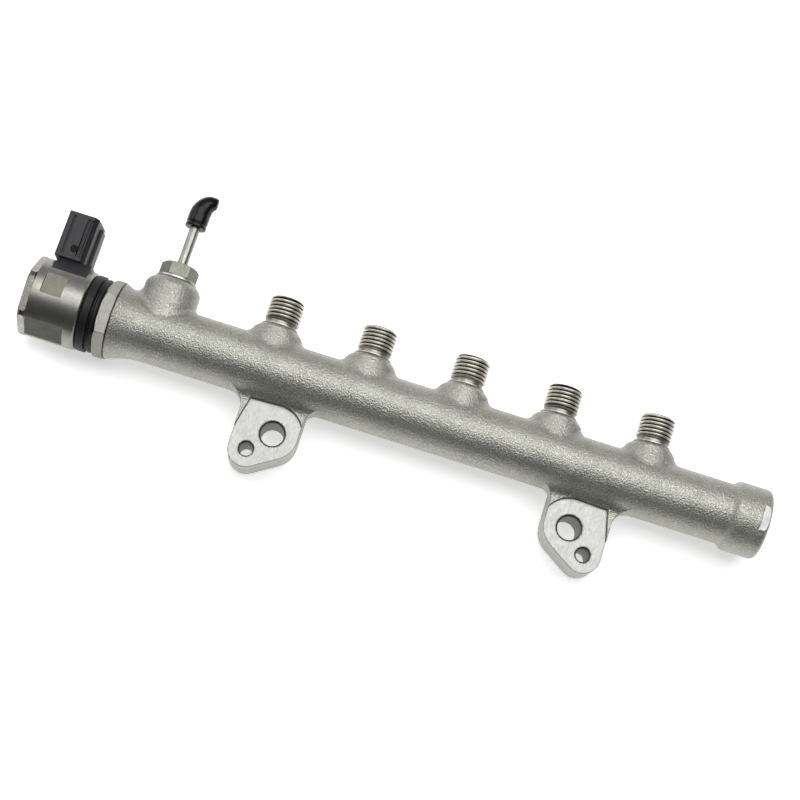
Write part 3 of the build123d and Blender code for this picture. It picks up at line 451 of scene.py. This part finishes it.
def piece_from(mesh, name, materials, node, body="root", smooth_angle=30.0):
    """A finished piece from a bmesh, which stands for a node and rides on a body if it has one."""
    data = bpy.data.meshes.new(name)
    mesh.normal_update()
    mesh.to_mesh(data)
    mesh.free()
    for attribute in ("custom_normal", "sharp_edge", "sharp_face"):
        if attribute in data.attributes:
            data.attributes.remove(data.attributes[attribute])
    for material in materials:
        data.materials.append(material)
    data.shade_smooth()
    if FACING in data.attributes:
        directions = [tuple(item.vector) for item in data.attributes[FACING].data]
        data.attributes.remove(data.attributes[FACING])
        data.normals_split_custom_set(directions)
    else:
        data.set_sharp_from_angle(angle=math.radians(smooth_angle))
    piece = bpy.data.objects.new(name, data)
    bpy.context.scene.collection.objects.link(piece)
    if body:
        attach(piece, body)
    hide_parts(node)
    return piece


def is_flat(face, facing, least):
    """Whether the CAD's exact directions at a face's corners are its own, so that it is flat."""
    return all(loop[facing].dot(face.normal) > least for loop in face.loops)


def dressed(node, name, materials, bevel, choose=None):
    """A CAD node's shape with rounded edges; choose gives each face the number of its finish."""
    mesh = merged_copy(node)
    mesh.normal_update()
    facing = mesh.loops.layers.float_vector[FACING]
    for face in mesh.faces:
        flat = is_flat(face, facing, 0.999999)
        face.material_index = choose(face, flat) if choose else 0
    rounded(mesh, bevel)
    return piece_from(mesh, name, materials, node)


def smooth_share(value, low, high):
    """Nought at low, one at high and an easy curve between, with either of them the larger."""
    share = min(1.0, max(0.0, (value - low) / (high - low)))
    return share * share * (3 - 2 * share)


def forged_place(point, shape):
    """Where a point of the forging goes: port bosses swell, and the end boss ramps up early."""
    x, y, z = point.x, point.y - RAIL_Y, point.z - RAIL_Z
    if math.hypot(y, z) <= TUBE_SKIN_R:
        return point.copy()
    if x > RAMP_ZONE_X:
        early = smooth_share(x, *RAMP_STARTS) * smooth_share(x, *RAMP_ENDS)
        x -= shape.ramp_shift * early
    port = min(PORT_COUNT - 1, max(0, round((x - PORT_FIRST_X) / PORT_PITCH)))
    along = x - (PORT_FIRST_X + PORT_PITCH * port)
    if y > 0 and abs(along) < SWELL_LIMIT:
        reach = math.hypot(along, TUBE_R * math.atan2(z, y))
        share = smooth_share(y, *SWELL_HEIGHT) * smooth_share(reach, *SWELL_REACH)
        x += shape.fullness * share * along / max(reach, 1 * MM)
    return Vector((x, y + RAIL_Y, z + RAIL_Z))


def reshaped(mesh, shape):
    """Moves a bmesh's corners by forged_place and turns their exact directions with them."""
    facing = mesh.loops.layers.float_vector[FACING]
    tiny = 0.01 * MM
    steps = (Vector((tiny, 0, 0)), Vector((0, tiny, 0)), Vector((0, 0, tiny)))
    for vert in mesh.verts:
        start = vert.co.copy()
        place = forged_place(start, shape)
        if (place - start).length < 1e-8:
            continue
        turn = Matrix([(forged_place(start + step, shape) - place) / tiny for step in steps])
        if abs(turn.determinant()) > 1e-3:
            turn.invert()
            for loop in vert.link_loops:
                loop[facing] = (turn @ loop[facing]).normalized()
        vert.co = place


# ---------------------------------------------------------------- sizes and colours
class FuelRailThread(bpy.types.PropertyGroup):
    """Sizes of the injector-line spigots."""
    major_radius: bpy.props.FloatProperty(
        name="Major radius", description="Radius over the thread's crests",
        default=7.0 * MM, min=4 * MM, max=12 * MM, subtype="DISTANCE", unit="LENGTH")
    pitch: bpy.props.FloatProperty(
        name="Pitch", description="Distance between two turns of the thread",
        default=1.5 * MM, min=0.5 * MM, max=3 * MM, subtype="DISTANCE", unit="LENGTH")
    depth: bpy.props.FloatProperty(
        name="Depth", description="Radial depth of the thread",
        default=0.88 * MM, min=0.2 * MM, max=2 * MM, subtype="DISTANCE", unit="LENGTH")
    columns: bpy.props.IntProperty(
        name="Columns", description="Steps round each spigot", default=96, min=24, max=192)


class FuelRailForging(bpy.types.PropertyGroup):
    """Sizes of the forging's soft shapes."""
    fullness: bpy.props.FloatProperty(
        name="Boss fullness", description="How far the port bosses swell into the tube",
        default=1.25 * MM, min=0, max=3 * MM, subtype="DISTANCE", unit="LENGTH")
    ramp_shift: bpy.props.FloatProperty(
        name="End ramp", description="How early the tube starts to widen into its end boss",
        default=1.8 * MM, min=0, max=3 * MM, subtype="DISTANCE", unit="LENGTH")


class FuelRailCap(bpy.types.PropertyGroup):
    """Sizes of the rubber cap on the return tube."""
    radius: bpy.props.FloatProperty(
        name="Radius", description="Outer radius of the cap's sleeve",
        default=4.15 * MM, min=3 * MM, max=6 * MM, subtype="DISTANCE", unit="LENGTH")
    mouth: bpy.props.FloatProperty(
        name="Mouth", description="Height of the cap's mouth above the rail's axis",
        default=45.2 * MM, min=40 * MM, max=50 * MM, subtype="DISTANCE", unit="LENGTH")


class FuelRailFinish(bpy.types.PropertyGroup):
    """Colours of the rail."""
    body_colour: bpy.props.FloatVectorProperty(
        name="Forging", description="Colour of the plated forging", subtype="COLOR", size=4,
        min=0, max=1, default=(0.42, 0.42, 0.375, 1))
    steel_colour: bpy.props.FloatVectorProperty(
        name="Steel", description="Colour of the valve's hexagon", subtype="COLOR", size=4,
        min=0, max=1, default=(0.54, 0.53, 0.49, 1))
    plastic_colour: bpy.props.FloatVectorProperty(
        name="Plastic", description="Colour of the connector", subtype="COLOR", size=4,
        min=0, max=1, default=(0.017, 0.017, 0.019, 1))


class FuelRailStage(bpy.types.PropertyGroup):
    """Studio round the rail."""
    floor_colour: bpy.props.FloatVectorProperty(
        name="Floor", description="Colour of the floor", subtype="COLOR", size=4,
        min=0, max=1, default=(0.92, 0.92, 0.92, 1))
    camera_distance: bpy.props.FloatProperty(
        name="Camera distance", description="From the camera to the rail's axis",
        default=650 * MM, min=0.3, max=3, subtype="DISTANCE", unit="LENGTH")
    camera_tilt: bpy.props.FloatProperty(
        name="Camera tilt", description="How far the camera leans towards the flanges",
        default=math.radians(13.6), min=0, max=1, subtype="ANGLE", unit="ROTATION")
    camera_roll: bpy.props.FloatProperty(
        name="Camera roll", description="How far the rail slopes in the picture",
        default=math.radians(17.54), min=-1, max=1, subtype="ANGLE", unit="ROTATION")


# ---------------------------------------------------------------- the forging
def without_spigots(mesh):
    """Cuts the plain spigots off their bosses and closes the cuts."""
    cut = RAIL_Y + BOSS_TOP + 0.02 * MM
    corners = [v for v in mesh.verts if v.co.x > PORT_FIRST_X - PORT_HALF_WIDTH]
    chosen = set(corners)
    faces = [face for face in mesh.faces if all(v in chosen for v in face.verts)]
    edges = [edge for edge in mesh.edges if all(v in chosen for v in edge.verts)]
    made = bmesh.ops.bisect_plane(mesh, geom=corners + edges + faces, plane_co=(0, cut, 0),
                                  plane_no=(0, 1, 0), clear_outer=True, dist=1e-7)
    rims = [edge for edge in made["geom_cut"]
            if isinstance(edge, bmesh.types.BMEdge) and edge.is_boundary]
    for port in range(PORT_COUNT):
        x = PORT_FIRST_X + port * PORT_PITCH
        rim = [edge for edge in rims if abs(edge.verts[0].co.x - x) < PORT_HALF_WIDTH]
        bmesh.ops.triangle_fill(mesh, edges=rim, use_beauty=True, normal=(0, 1, 0))
    if any(edge.is_boundary for edge in mesh.edges):
        raise RuntimeError("the forging is left open where its spigots were cut off")


def forging_finish(face, facing):
    """The number of a forging face's finish: 0 blasted, 1 milled, 2 bored, 3 turned."""
    point, normal = face.calc_center_median(), face.normal
    from_axis = math.hypot(point.y - RAIL_Y, point.z - RAIL_Z)
    if point.x > END_FLAT_X and abs(normal.x) < 0.05 and from_axis > END_FLAT_R:
        return 1 if is_flat(face, facing, 0.9999) else 0
    for hole_x, hole_y, reach in LUG_HOLES:
        if math.hypot(abs(point.x) - hole_x, point.y - hole_y) < reach:
            return 2
    if abs(normal.z) > 0.99 and min(abs(point.z), abs(point.z - SEAT_TOP)) < 0.1 * MM:
        return 1
    if abs(normal.x) > 0.99 and abs(point.x) > END_FACE_X:
        return 1
    if from_axis < BORED_WITHIN and abs(point.x) > BORE_ZONE_X:
        return 2
    if normal.y > 0.99 and abs(point.y - RAIL_Y - BOSS_TOP) < 0.3 * MM:
        return 3
    return 0


class FUELRAIL_OT_forging(bpy.types.Operator):
    """Builds the forging, with blasted skin and machined faces, up to its port bosses"""
    bl_idname = "fuelrail.forging"
    bl_label = "Forging"

    def execute(self, context):
        mesh = merged_copy("rail_body")
        without_spigots(mesh)
        reshaped(mesh, context.scene.fuel_rail_forging)
        mesh.normal_update()
        facing = mesh.loops.layers.float_vector[FACING]
        for face in mesh.faces:
            face.material_index = forging_finish(face, facing)
        rounded(mesh, width=0.3 * MM)
        piece_from(mesh, "forging", worn("forging", "milled", "bored", "turned"), "rail_body")
        return {"FINISHED"}


# ---------------------------------------------------------------- the threaded spigots
def spigot_outline(sizes):
    """Radius and height of the spigot's turned shape, below its thread and above it."""
    corner = 0.1 * MM
    edge_break = 0.12 * MM
    root_fillet = 0.25 * MM
    base = BOSS_TOP - 0.3 * MM
    neck_r = sizes.major_radius - sizes.depth - 0.05 * MM
    land_r = 7.2 * MM
    drill_r = 1.5 * MM
    mouth_r = 4.0 * MM
    chamfer = 0.95 * MM
    cone_depth = (mouth_r - drill_r) / math.tan(math.radians(30))
    face_r = sizes.major_radius - chamfer - 0.15 * MM
    below = [(drill_r, base), (land_r - corner, base), (land_r, base + corner),
             (land_r, PORT_NECK_LOW - edge_break), (land_r - edge_break, PORT_NECK_LOW),
             (neck_r + root_fillet, PORT_NECK_LOW), (neck_r, PORT_NECK_LOW + root_fillet),
             (neck_r, PORT_NECK_HIGH - corner)]
    above = [(face_r, PORT_TIP), (mouth_r + edge_break, PORT_TIP),
             (mouth_r, PORT_TIP - corner), (drill_r, PORT_TIP - cone_depth)]

    def envelope(height):
        """The most that the thread's radius may be, between its run-out and its chamfer."""
        rise = neck_r + (height - PORT_NECK_HIGH) * 0.75 + 0.15 * MM
        fall = sizes.major_radius - (height - (PORT_TIP - chamfer))
        return min(sizes.major_radius, rise, fall)
    return below, above, envelope


def spigot_mesh(sizes):
    """One threaded spigot about the Y axis, with nought on the rail's axis: a closed mesh."""
    below, above, envelope = spigot_outline(sizes)
    low, high = PORT_NECK_HIGH, PORT_TIP - 0.2 * MM
    # share of a pitch and share of the depth along one turn's profile
    profile = ((0.00, 0.0), (0.08, 0.0), (0.10, 0.02), (0.42, 0.96), (0.46, 1.0), (0.60, 1.0),
               (0.64, 0.96), (0.96, 0.02))
    root_r = sizes.major_radius - sizes.depth
    turns = math.ceil((high - low) / sizes.pitch) + 2
    thread = [(root_r + rise * sizes.depth, low + (turn + share) * sizes.pitch)
              for turn in range(-1, turns) for share, rise in profile]
    mesh = bmesh.new()
    grid = []
    for column in range(sizes.columns + 1):
        angle = 2 * math.pi * column / sizes.columns
        climb = sizes.pitch * column / sizes.columns
        line = list(below)
        for radius, foot in thread:
            height = min(max(foot + climb, low), high)
            most = envelope(height)
            line.append((min(radius, most) if low < height < high else most, height))
        line += above
        turn_x, turn_z = math.cos(angle), -math.sin(angle)
        grid.append([mesh.verts.new((radius * turn_x, height, radius * turn_z))
                     for radius, height in line])
    for first, second in zip(grid, grid[1:]):
        for row in range(len(first) - 1):
            mesh.faces.new((first[row], second[row], second[row + 1], first[row + 1]))
        mesh.faces.new((first[-1], second[-1], second[0], first[0]))
    bmesh.ops.remove_doubles(mesh, verts=mesh.verts, dist=WELD)
    bmesh.ops.dissolve_degenerate(mesh, edges=mesh.edges, dist=1e-7)
    bmesh.ops.recalc_face_normals(mesh, faces=mesh.faces)
    return mesh


def row_of_spigots_tree():
    """Geometry Nodes tree: sets one spigot at even steps along the rail."""
    tree = bpy.data.node_groups.new("Row of spigots", "GeometryNodeTree")
    tree.interface.new_socket("Geometry", in_out="OUTPUT", socket_type="NodeSocketGeometry")
    for name, kind in (("Spigot", "Object"), ("Count", "Int"), ("Pitch", "Float"),
                       ("First", "Vector"), ("Finish", "Material")):
        tree.interface.new_socket(name, in_out="INPUT", socket_type="NodeSocket" + kind)
    nodes, links = tree.nodes, tree.links
    given = nodes.new("NodeGroupInput")
    result = nodes.new("NodeGroupOutput")
    line = nodes.new("GeometryNodeMeshLine")
    line.mode = "OFFSET"
    step = nodes.new("ShaderNodeCombineXYZ")
    links.new(given.outputs["Pitch"], step.inputs["X"])
    links.new(given.outputs["Count"], line.inputs["Count"])
    links.new(given.outputs["First"], line.inputs["Start Location"])
    links.new(step.outputs["Vector"], line.inputs["Offset"])
    source = nodes.new("GeometryNodeObjectInfo")
    links.new(given.outputs["Spigot"], source.inputs["Object"])
    place = nodes.new("GeometryNodeInstanceOnPoints")
    links.new(line.outputs["Mesh"], place.inputs["Points"])
    links.new(source.outputs["Geometry"], place.inputs["Instance"])
    # each thread starts at another angle, as dies leave them
    index = nodes.new("GeometryNodeInputIndex")
    turn = nodes.new("ShaderNodeMath")
    turn.operation = "MULTIPLY"
    turn.inputs[1].default_value = 1.9
    spin = nodes.new("ShaderNodeCombineXYZ")
    links.new(index.outputs["Index"], turn.inputs[0])
    links.new(turn.outputs[0], spin.inputs["Y"])
    rotate = nodes.new("FunctionNodeEulerToRotation")
    links.new(spin.outputs["Vector"], rotate.inputs[0])
    links.new(rotate.outputs[0], place.inputs["Rotation"])
    real = nodes.new("GeometryNodeRealizeInstances")
    links.new(place.outputs["Instances"], real.inputs["Geometry"])
    finish = nodes.new("GeometryNodeSetMaterial")
    links.new(real.outputs["Geometry"], finish.inputs["Geometry"])
    links.new(given.outputs["Finish"], finish.inputs["Material"])
    links.new(finish.outputs["Geometry"], result.inputs["Geometry"])
    return tree


def grown(tree, values, name):
    """The bmesh that a Geometry Nodes tree gives with these inputs."""
    carrier = bpy.data.objects.new(name + "_carrier", bpy.data.meshes.new(name + "_carrier"))
    bpy.context.scene.collection.objects.link(carrier)
    modifier = carrier.modifiers.new("Rule", "NODES")
    modifier.node_group = tree
    inputs = {item.name: item.identifier for item in tree.interface.items_tree
              if item.in_out == "INPUT"}
    for label, value in values.items():
        modifier[inputs[label]] = value
    bpy.context.view_layer.update()
    graph = bpy.context.evaluated_depsgraph_get()
    data = bpy.data.meshes.new_from_object(carrier.evaluated_get(graph))
    carrier.modifiers.remove(modifier)
    bpy.data.objects.remove(carrier)
    if not data.polygons:
        raise RuntimeError(name + " came out empty")
    mesh = bmesh.new()
    mesh.from_mesh(data)
    bpy.data.meshes.remove(data)
    return mesh


class FUELRAIL_OT_spigots(bpy.types.Operator):
    """Sets the threaded spigots of the injector lines on their bosses"""
    bl_idname = "fuelrail.spigots"
    bl_label = "Threaded spigots"

    def execute(self, context):
        turned = worn("turned")
        one = spigot_mesh(context.scene.fuel_rail_thread)
        data = bpy.data.meshes.new("spigot_pattern")
        one.to_mesh(data)
        one.free()
        pattern = bpy.data.objects.new("spigot_pattern", data)
        context.scene.collection.objects.link(pattern)
        mesh = grown(row_of_spigots_tree(), {
            "Spigot": pattern, "Count": PORT_COUNT, "Pitch": PORT_PITCH,
            "First": (PORT_FIRST_X, RAIL_Y, RAIL_Z), "Finish": turned[0]}, "spigots")
        bpy.data.objects.remove(pattern)
        piece_from(mesh, "port_spigots", turned, "rail_body", smooth_angle=38.0)
        return {"FINISHED"}


# ---------------------------------------------------------------- the other pieces
class FUELRAIL_OT_valve(bpy.types.Operator):
    """Builds the control valve's hexagon, weather seal, can and cover"""
    bl_idname = "fuelrail.valve"
    bl_label = "Control valve"

    def execute(self, context):
        dressed("valve_housing", "valve_hexagon", worn("hexagon"),
                bevel=0.18 * MM)
        dressed("rubber_ring", "weather_seal", worn("rubber"), bevel=0.18 * MM)

        def can_face(face, flat):
            if not flat or abs(face.normal.x) > 0.05:
                return 0
            return 1 if face.normal.y > 0 else 2
        dressed("coil_can", "coil_can_shell", worn("can", "stamped", "pressed"),
                bevel=0.2 * MM, choose=can_face)

        def cover_face(face, flat):
            return 1 if flat and abs(face.normal.x) < 0.05 else 0
        dressed("can_cover", "can_end_cover", worn("cover", "sheared"),
                bevel=0.16 * MM, choose=cover_face)
        return {"FINISHED"}


class FUELRAIL_OT_connector(bpy.types.Operator):
    """Builds the plug socket moulded onto the can"""
    bl_idname = "fuelrail.connector"
    bl_label = "Connector"

    def execute(self, context):
        def gate_face(face, flat):
            point = face.calc_center_median()
            near = math.hypot(point.x - GATE_X, point.y - GATE_Y) < GATE_R
            return 1 if near and point.z > RAIL_Z else 0
        dressed("connector_body", "plug_socket", worn("plastic", "gate"),
                bevel=0.2 * MM, choose=gate_face)
        return {"FINISHED"}


def ringed_tube(stations, columns=40):
    """A closed skin through rings, each a centre, a direction and a radius."""
    mesh = bmesh.new()
    side = Vector((0, 0, 1))
    rings = []
    for centre, direction, radius in stations:
        across = direction.cross(side).normalized()
        ring = []
        for column in range(columns):
            angle = 2 * math.pi * column / columns
            ring.append(mesh.verts.new(centre + across * (radius * math.cos(angle))
                                       + side * (radius * math.sin(angle))))
        rings.append(ring)
    for first, second in zip(rings, rings[1:]):
        for column in range(columns):
            follow = (column + 1) % columns
            mesh.faces.new((first[column], first[follow], second[follow], second[column]))
    mesh.faces.new(rings[0])
    mesh.faces.new(rings[-1])
    bmesh.ops.recalc_face_normals(mesh, faces=mesh.faces)
    return mesh


def cap_mesh(sizes):
    """The rubber cap: a rolled mouth, a sleeve and a nose that bends towards +X."""
    up = Vector((0, 1, 0))
    foot = Vector((RETURN_X, RAIL_Y, RAIL_Z))
    # height above the mouth in millimetres, share of the radius
    sleeve = ((0.0, 0.55), (0.0, 0.93), (0.12, 0.985), (0.35, 1.0), (1.1, 1.0), (1.3, 0.985),
              (1.5, 0.95), (1.75, 0.95), (2.0, 0.985), (2.3, 1.0), (4.0, 1.0), (6.0, 0.995))
    # height above the axis and shift in millimetres, lean in degrees, share of the radius
    bend = ((52.3, 0.15, 8, 0.99), (53.4, 0.5, 20, 0.97), (54.4, 1.05, 34, 0.95),
            (55.2, 1.7, 48, 0.92), (55.9, 2.45, 60, 0.87), (56.5, 3.3, 70, 0.78),
            (56.82, 4.1, 78, 0.665), (57.08, 4.8, 84, 0.58), (57.1, 5.2, 88, 0.52),
            (57.08, 5.45, 90, 0.44), (57.08, 5.53, 90, 0.30))
    stations = [(foot + up * (sizes.mouth + height * MM), up, sizes.radius * share)
                for height, share in sleeve]
    for height, shift, lean, share in bend:
        angle = math.radians(lean)
        direction = Vector((math.sin(angle), math.cos(angle), 0))
        centre = foot + up * (height * MM) + Vector((shift * MM, 0, 0))
        stations.append((centre, direction, sizes.radius * share))
    return ringed_tube(stations)


class FUELRAIL_OT_return_outlet(bpy.types.Operator):
    """Builds the return outlet: washer, fitting, tube and its rubber cap"""
    bl_idname = "fuelrail.return_outlet"
    bl_label = "Return outlet"

    def execute(self, context):
        # the neck below the hexagon wears the painted neck shade
        def neck_face(face, flat):
            return 1 if face.calc_center_median().y < RAIL_Y + FITTING_NECK_TOP else 0
        dressed("fitting_washer", "sealing_washer", worn("washer"), bevel=0.2 * MM)
        dressed("return_fitting", "return_hexagon", worn("fitting", "neck_shade"),
                bevel=0.15 * MM, choose=neck_face)
        dressed("return_tube", "return_pipe", worn("tube"), bevel=0.1 * MM)
        piece_from(cap_mesh(context.scene.fuel_rail_cap), "return_cap", worn("cap"), "tube_cap",
                   smooth_angle=60.0)
        return {"FINISHED"}


class FUELRAIL_OT_hidden_pieces(bpy.types.Operator):
    """Gives the pieces inside the valve and the terminals their finishes"""
    bl_idname = "fuelrail.hidden_pieces"
    bl_label = "Inner pieces"

    def execute(self, context):
        wears = {node: "hidden_steel" for node in HIDDEN_STEEL}
        wears.update(coil_winding="winding", connector_terminals="terminal", o_ring="rubber",
                     support_ring="ptfe")
        for node, finish in wears.items():
            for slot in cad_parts[node].material_slots:
                slot.material = worn(finish)[0]
        # the spring between the pole core and the armature rides on no body
        spring = piece_from(merged_copy("armature_spring"), "spring_coil", worn("hidden_steel"),
                            "armature_spring", body=None)
        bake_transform(spring)
        return {"FINISHED"}


class FUELRAIL_OT_finishes(bpy.types.Operator):
    """Makes the finishes that the pieces wear"""
    bl_idname = "fuelrail.finishes"
    bl_label = "Finishes"

    def execute(self, context):
        context.scene["fuel_rail_finishes"] = {
            key: material.name for key, material in make_finishes().items()}
        return {"FINISHED"}


# ---------------------------------------------------------------- studio
def upright(place, right, up, back):
    """The matrix of an object at a place, with these directions as its axes."""
    return Matrix.Translation(place) @ Matrix((right, up, back)).transposed().to_4x4()


def soft_box(name, place, target, width, height, power):
    """A rectangular studio lamp that looks at the target."""
    lamp = bpy.data.lights.new(name, "AREA")
    lamp.shape = "RECTANGLE"
    lamp.size = width
    lamp.size_y = height
    lamp.energy = power
    holder = bpy.data.objects.new(name, lamp)
    back = (Vector(place) - target).normalized()
    up = back.cross(Vector((1, 0, 0))).normalized()
    holder.matrix_world = upright(place, up.cross(back).normalized(), up, back)
    bpy.context.scene.collection.objects.link(holder)


def floor_material(colour):
    """Matt pale floor that reads as white and keeps the rail's shadow."""
    material = bpy.data.materials.new("Studio floor")
    material.use_nodes = True
    tree = material.node_tree
    tree.nodes.clear()
    output = tree.nodes.new("ShaderNodeOutputMaterial")
    matt = tree.nodes.new("ShaderNodeBsdfDiffuse")
    matt.inputs["Color"].default_value = colour
    lit = tree.nodes.new("ShaderNodeEmission")
    lit.inputs["Color"].default_value = (1, 1, 1, 1)
    path = tree.nodes.new("ShaderNodeLightPath").outputs
    mirrored = arithmetic(tree, "MAXIMUM", path["Is Glossy Ray"], path["Is Transmission Ray"])
    seen = arithmetic(tree, "MAXIMUM", path["Is Camera Ray"], mirrored)
    plug(tree, arithmetic(tree, "MULTIPLY", seen, FLOOR_GLOW), lit.inputs["Strength"])
    both = tree.nodes.new("ShaderNodeAddShader")
    tree.links.new(matt.outputs[0], both.inputs[0])
    tree.links.new(lit.outputs[0], both.inputs[1])
    tree.links.new(both.outputs[0], output.inputs["Surface"])
    return material


def studio_world():
    """Pale surroundings behind the rail that darken towards its front and its right."""
    world = bpy.data.worlds.new("Studio")
    bpy.context.scene.world = world
    world.use_nodes = True
    tree = world.node_tree
    tree.nodes.clear()
    output = tree.nodes.new("ShaderNodeOutputWorld")
    ground = tree.nodes.new("ShaderNodeBackground")
    parts = parts_of(tree, "Generated")
    behind = ranged(tree, parts["Y"], -0.45, 0.2, 0, 1)
    left = ranged(tree, parts["X"], 0.1, 0.65, 1, 0.12)
    pale = arithmetic(tree, "MULTIPLY", behind, left)
    plug(tree, mixed(tree, pale, FRONT_GREY, BACK_GREY), ground.inputs["Color"])
    ground.inputs["Strength"].default_value = 1.0
    tree.links.new(ground.outputs[0], output.inputs["Surface"])


def studio_floor(colour):
    """A flat floor just under the rail."""
    low = CAD_BOX[0][2] - 0.05 * MM
    half = FLOOR_HALF
    data = bpy.data.meshes.new("studio_floor")
    data.from_pydata([(-half, -half, low), (half, -half, low), (half, half, low),
                      (-half, half, low)], [], [(0, 1, 2, 3)])
    data.materials.append(floor_material(colour))
    floor = bpy.data.objects.new("studio_floor", data)
    bpy.context.scene.collection.objects.link(floor)


def studio_camera(settings, centre):
    """The camera in front of the rail, leaning to its flanges and rolled so that it slopes."""
    lean, roll = settings.camera_tilt, settings.camera_roll
    along = Vector((1, 0, 0))
    rise = Vector((0, math.cos(lean), math.sin(lean)))
    back = Vector((0, -math.sin(lean), math.cos(lean)))
    right = along * math.cos(roll) + rise * math.sin(roll)
    up = rise * math.cos(roll) - along * math.sin(roll)
    lens = bpy.data.cameras.new("Camera")
    lens.sensor_width = SENSOR_WIDTH
    lens.lens = FOCAL_PIXELS / FRAME_PIXELS * SENSOR_WIDTH
    lens.clip_start = 0.01
    lens.clip_end = 60
    camera = bpy.data.objects.new("Camera", lens)
    spot = centre + rise * AIM_RISE + back * settings.camera_distance
    camera.matrix_world = upright(spot, right, up, back)
    bpy.context.scene.collection.objects.link(camera)
    bpy.context.scene.camera = camera


class FUELRAIL_OT_stage(bpy.types.Operator):
    """Sets the floor, the lamps and the camera"""
    bl_idname = "fuelrail.stage"
    bl_label = "Studio"

    def execute(self, context):
        settings = context.scene.fuel_rail_stage
        centre = Vector((CENTRE_X, RAIL_Y, RAIL_Z))
        studio_floor(tuple(settings.floor_colour))
        for name, place, width, height, power in LAMPS:
            soft_box(name, place, centre, width, height, power)
        studio_world()
        context.scene.view_settings.view_transform = "Standard"
        studio_camera(settings, centre)
        return {"FINISHED"}


# ---------------------------------------------------------------- panel
STEPS = ("finishes", "forging", "spigots", "valve", "connector", "return_outlet",
         "hidden_pieces", "stage")


class FUELRAIL_PT_panel(bpy.types.Panel):
    """Lists the sizes, the colours and the steps"""
    bl_label = "Fuel Rail"
    bl_idname = "FUELRAIL_PT_panel"
    bl_space_type = "VIEW_3D"
    bl_region_type = "UI"
    bl_category = "Fuel Rail"

    def draw(self, context):
        for group in (getattr(context.scene, name) for name in GROUPS):
            box = self.layout.box()
            for name in group.__annotations__:
                box.prop(group, name)
        for step in STEPS:
            self.layout.operator("fuelrail." + step)


GROUPS = {"fuel_rail_thread": FuelRailThread, "fuel_rail_forging": FuelRailForging,
          "fuel_rail_cap": FuelRailCap, "fuel_rail_finish": FuelRailFinish,
          "fuel_rail_stage": FuelRailStage}
CLASSES = (*GROUPS.values(), FUELRAIL_OT_finishes, FUELRAIL_OT_forging, FUELRAIL_OT_spigots,
           FUELRAIL_OT_valve, FUELRAIL_OT_connector, FUELRAIL_OT_return_outlet,
           FUELRAIL_OT_hidden_pieces, FUELRAIL_OT_stage, FUELRAIL_PT_panel)


def register():
    """Adds the classes and gives the scene its settings."""
    for cls in CLASSES:
        bpy.utils.register_class(cls)
    for name, group in GROUPS.items():
        setattr(bpy.types.Scene, name, bpy.props.PointerProperty(type=group))


def unregister():
    """Takes the settings and the classes away again."""
    for name in GROUPS:
        delattr(bpy.types.Scene, name)
    for cls in reversed(CLASSES):
        bpy.utils.unregister_class(cls)


def main():
    """Builds everything in order."""
    register()
    for step in STEPS:
        getattr(bpy.ops.fuelrail, step)()
    bpy.context.view_layer.update()


if __name__ == "__main__":
    main()
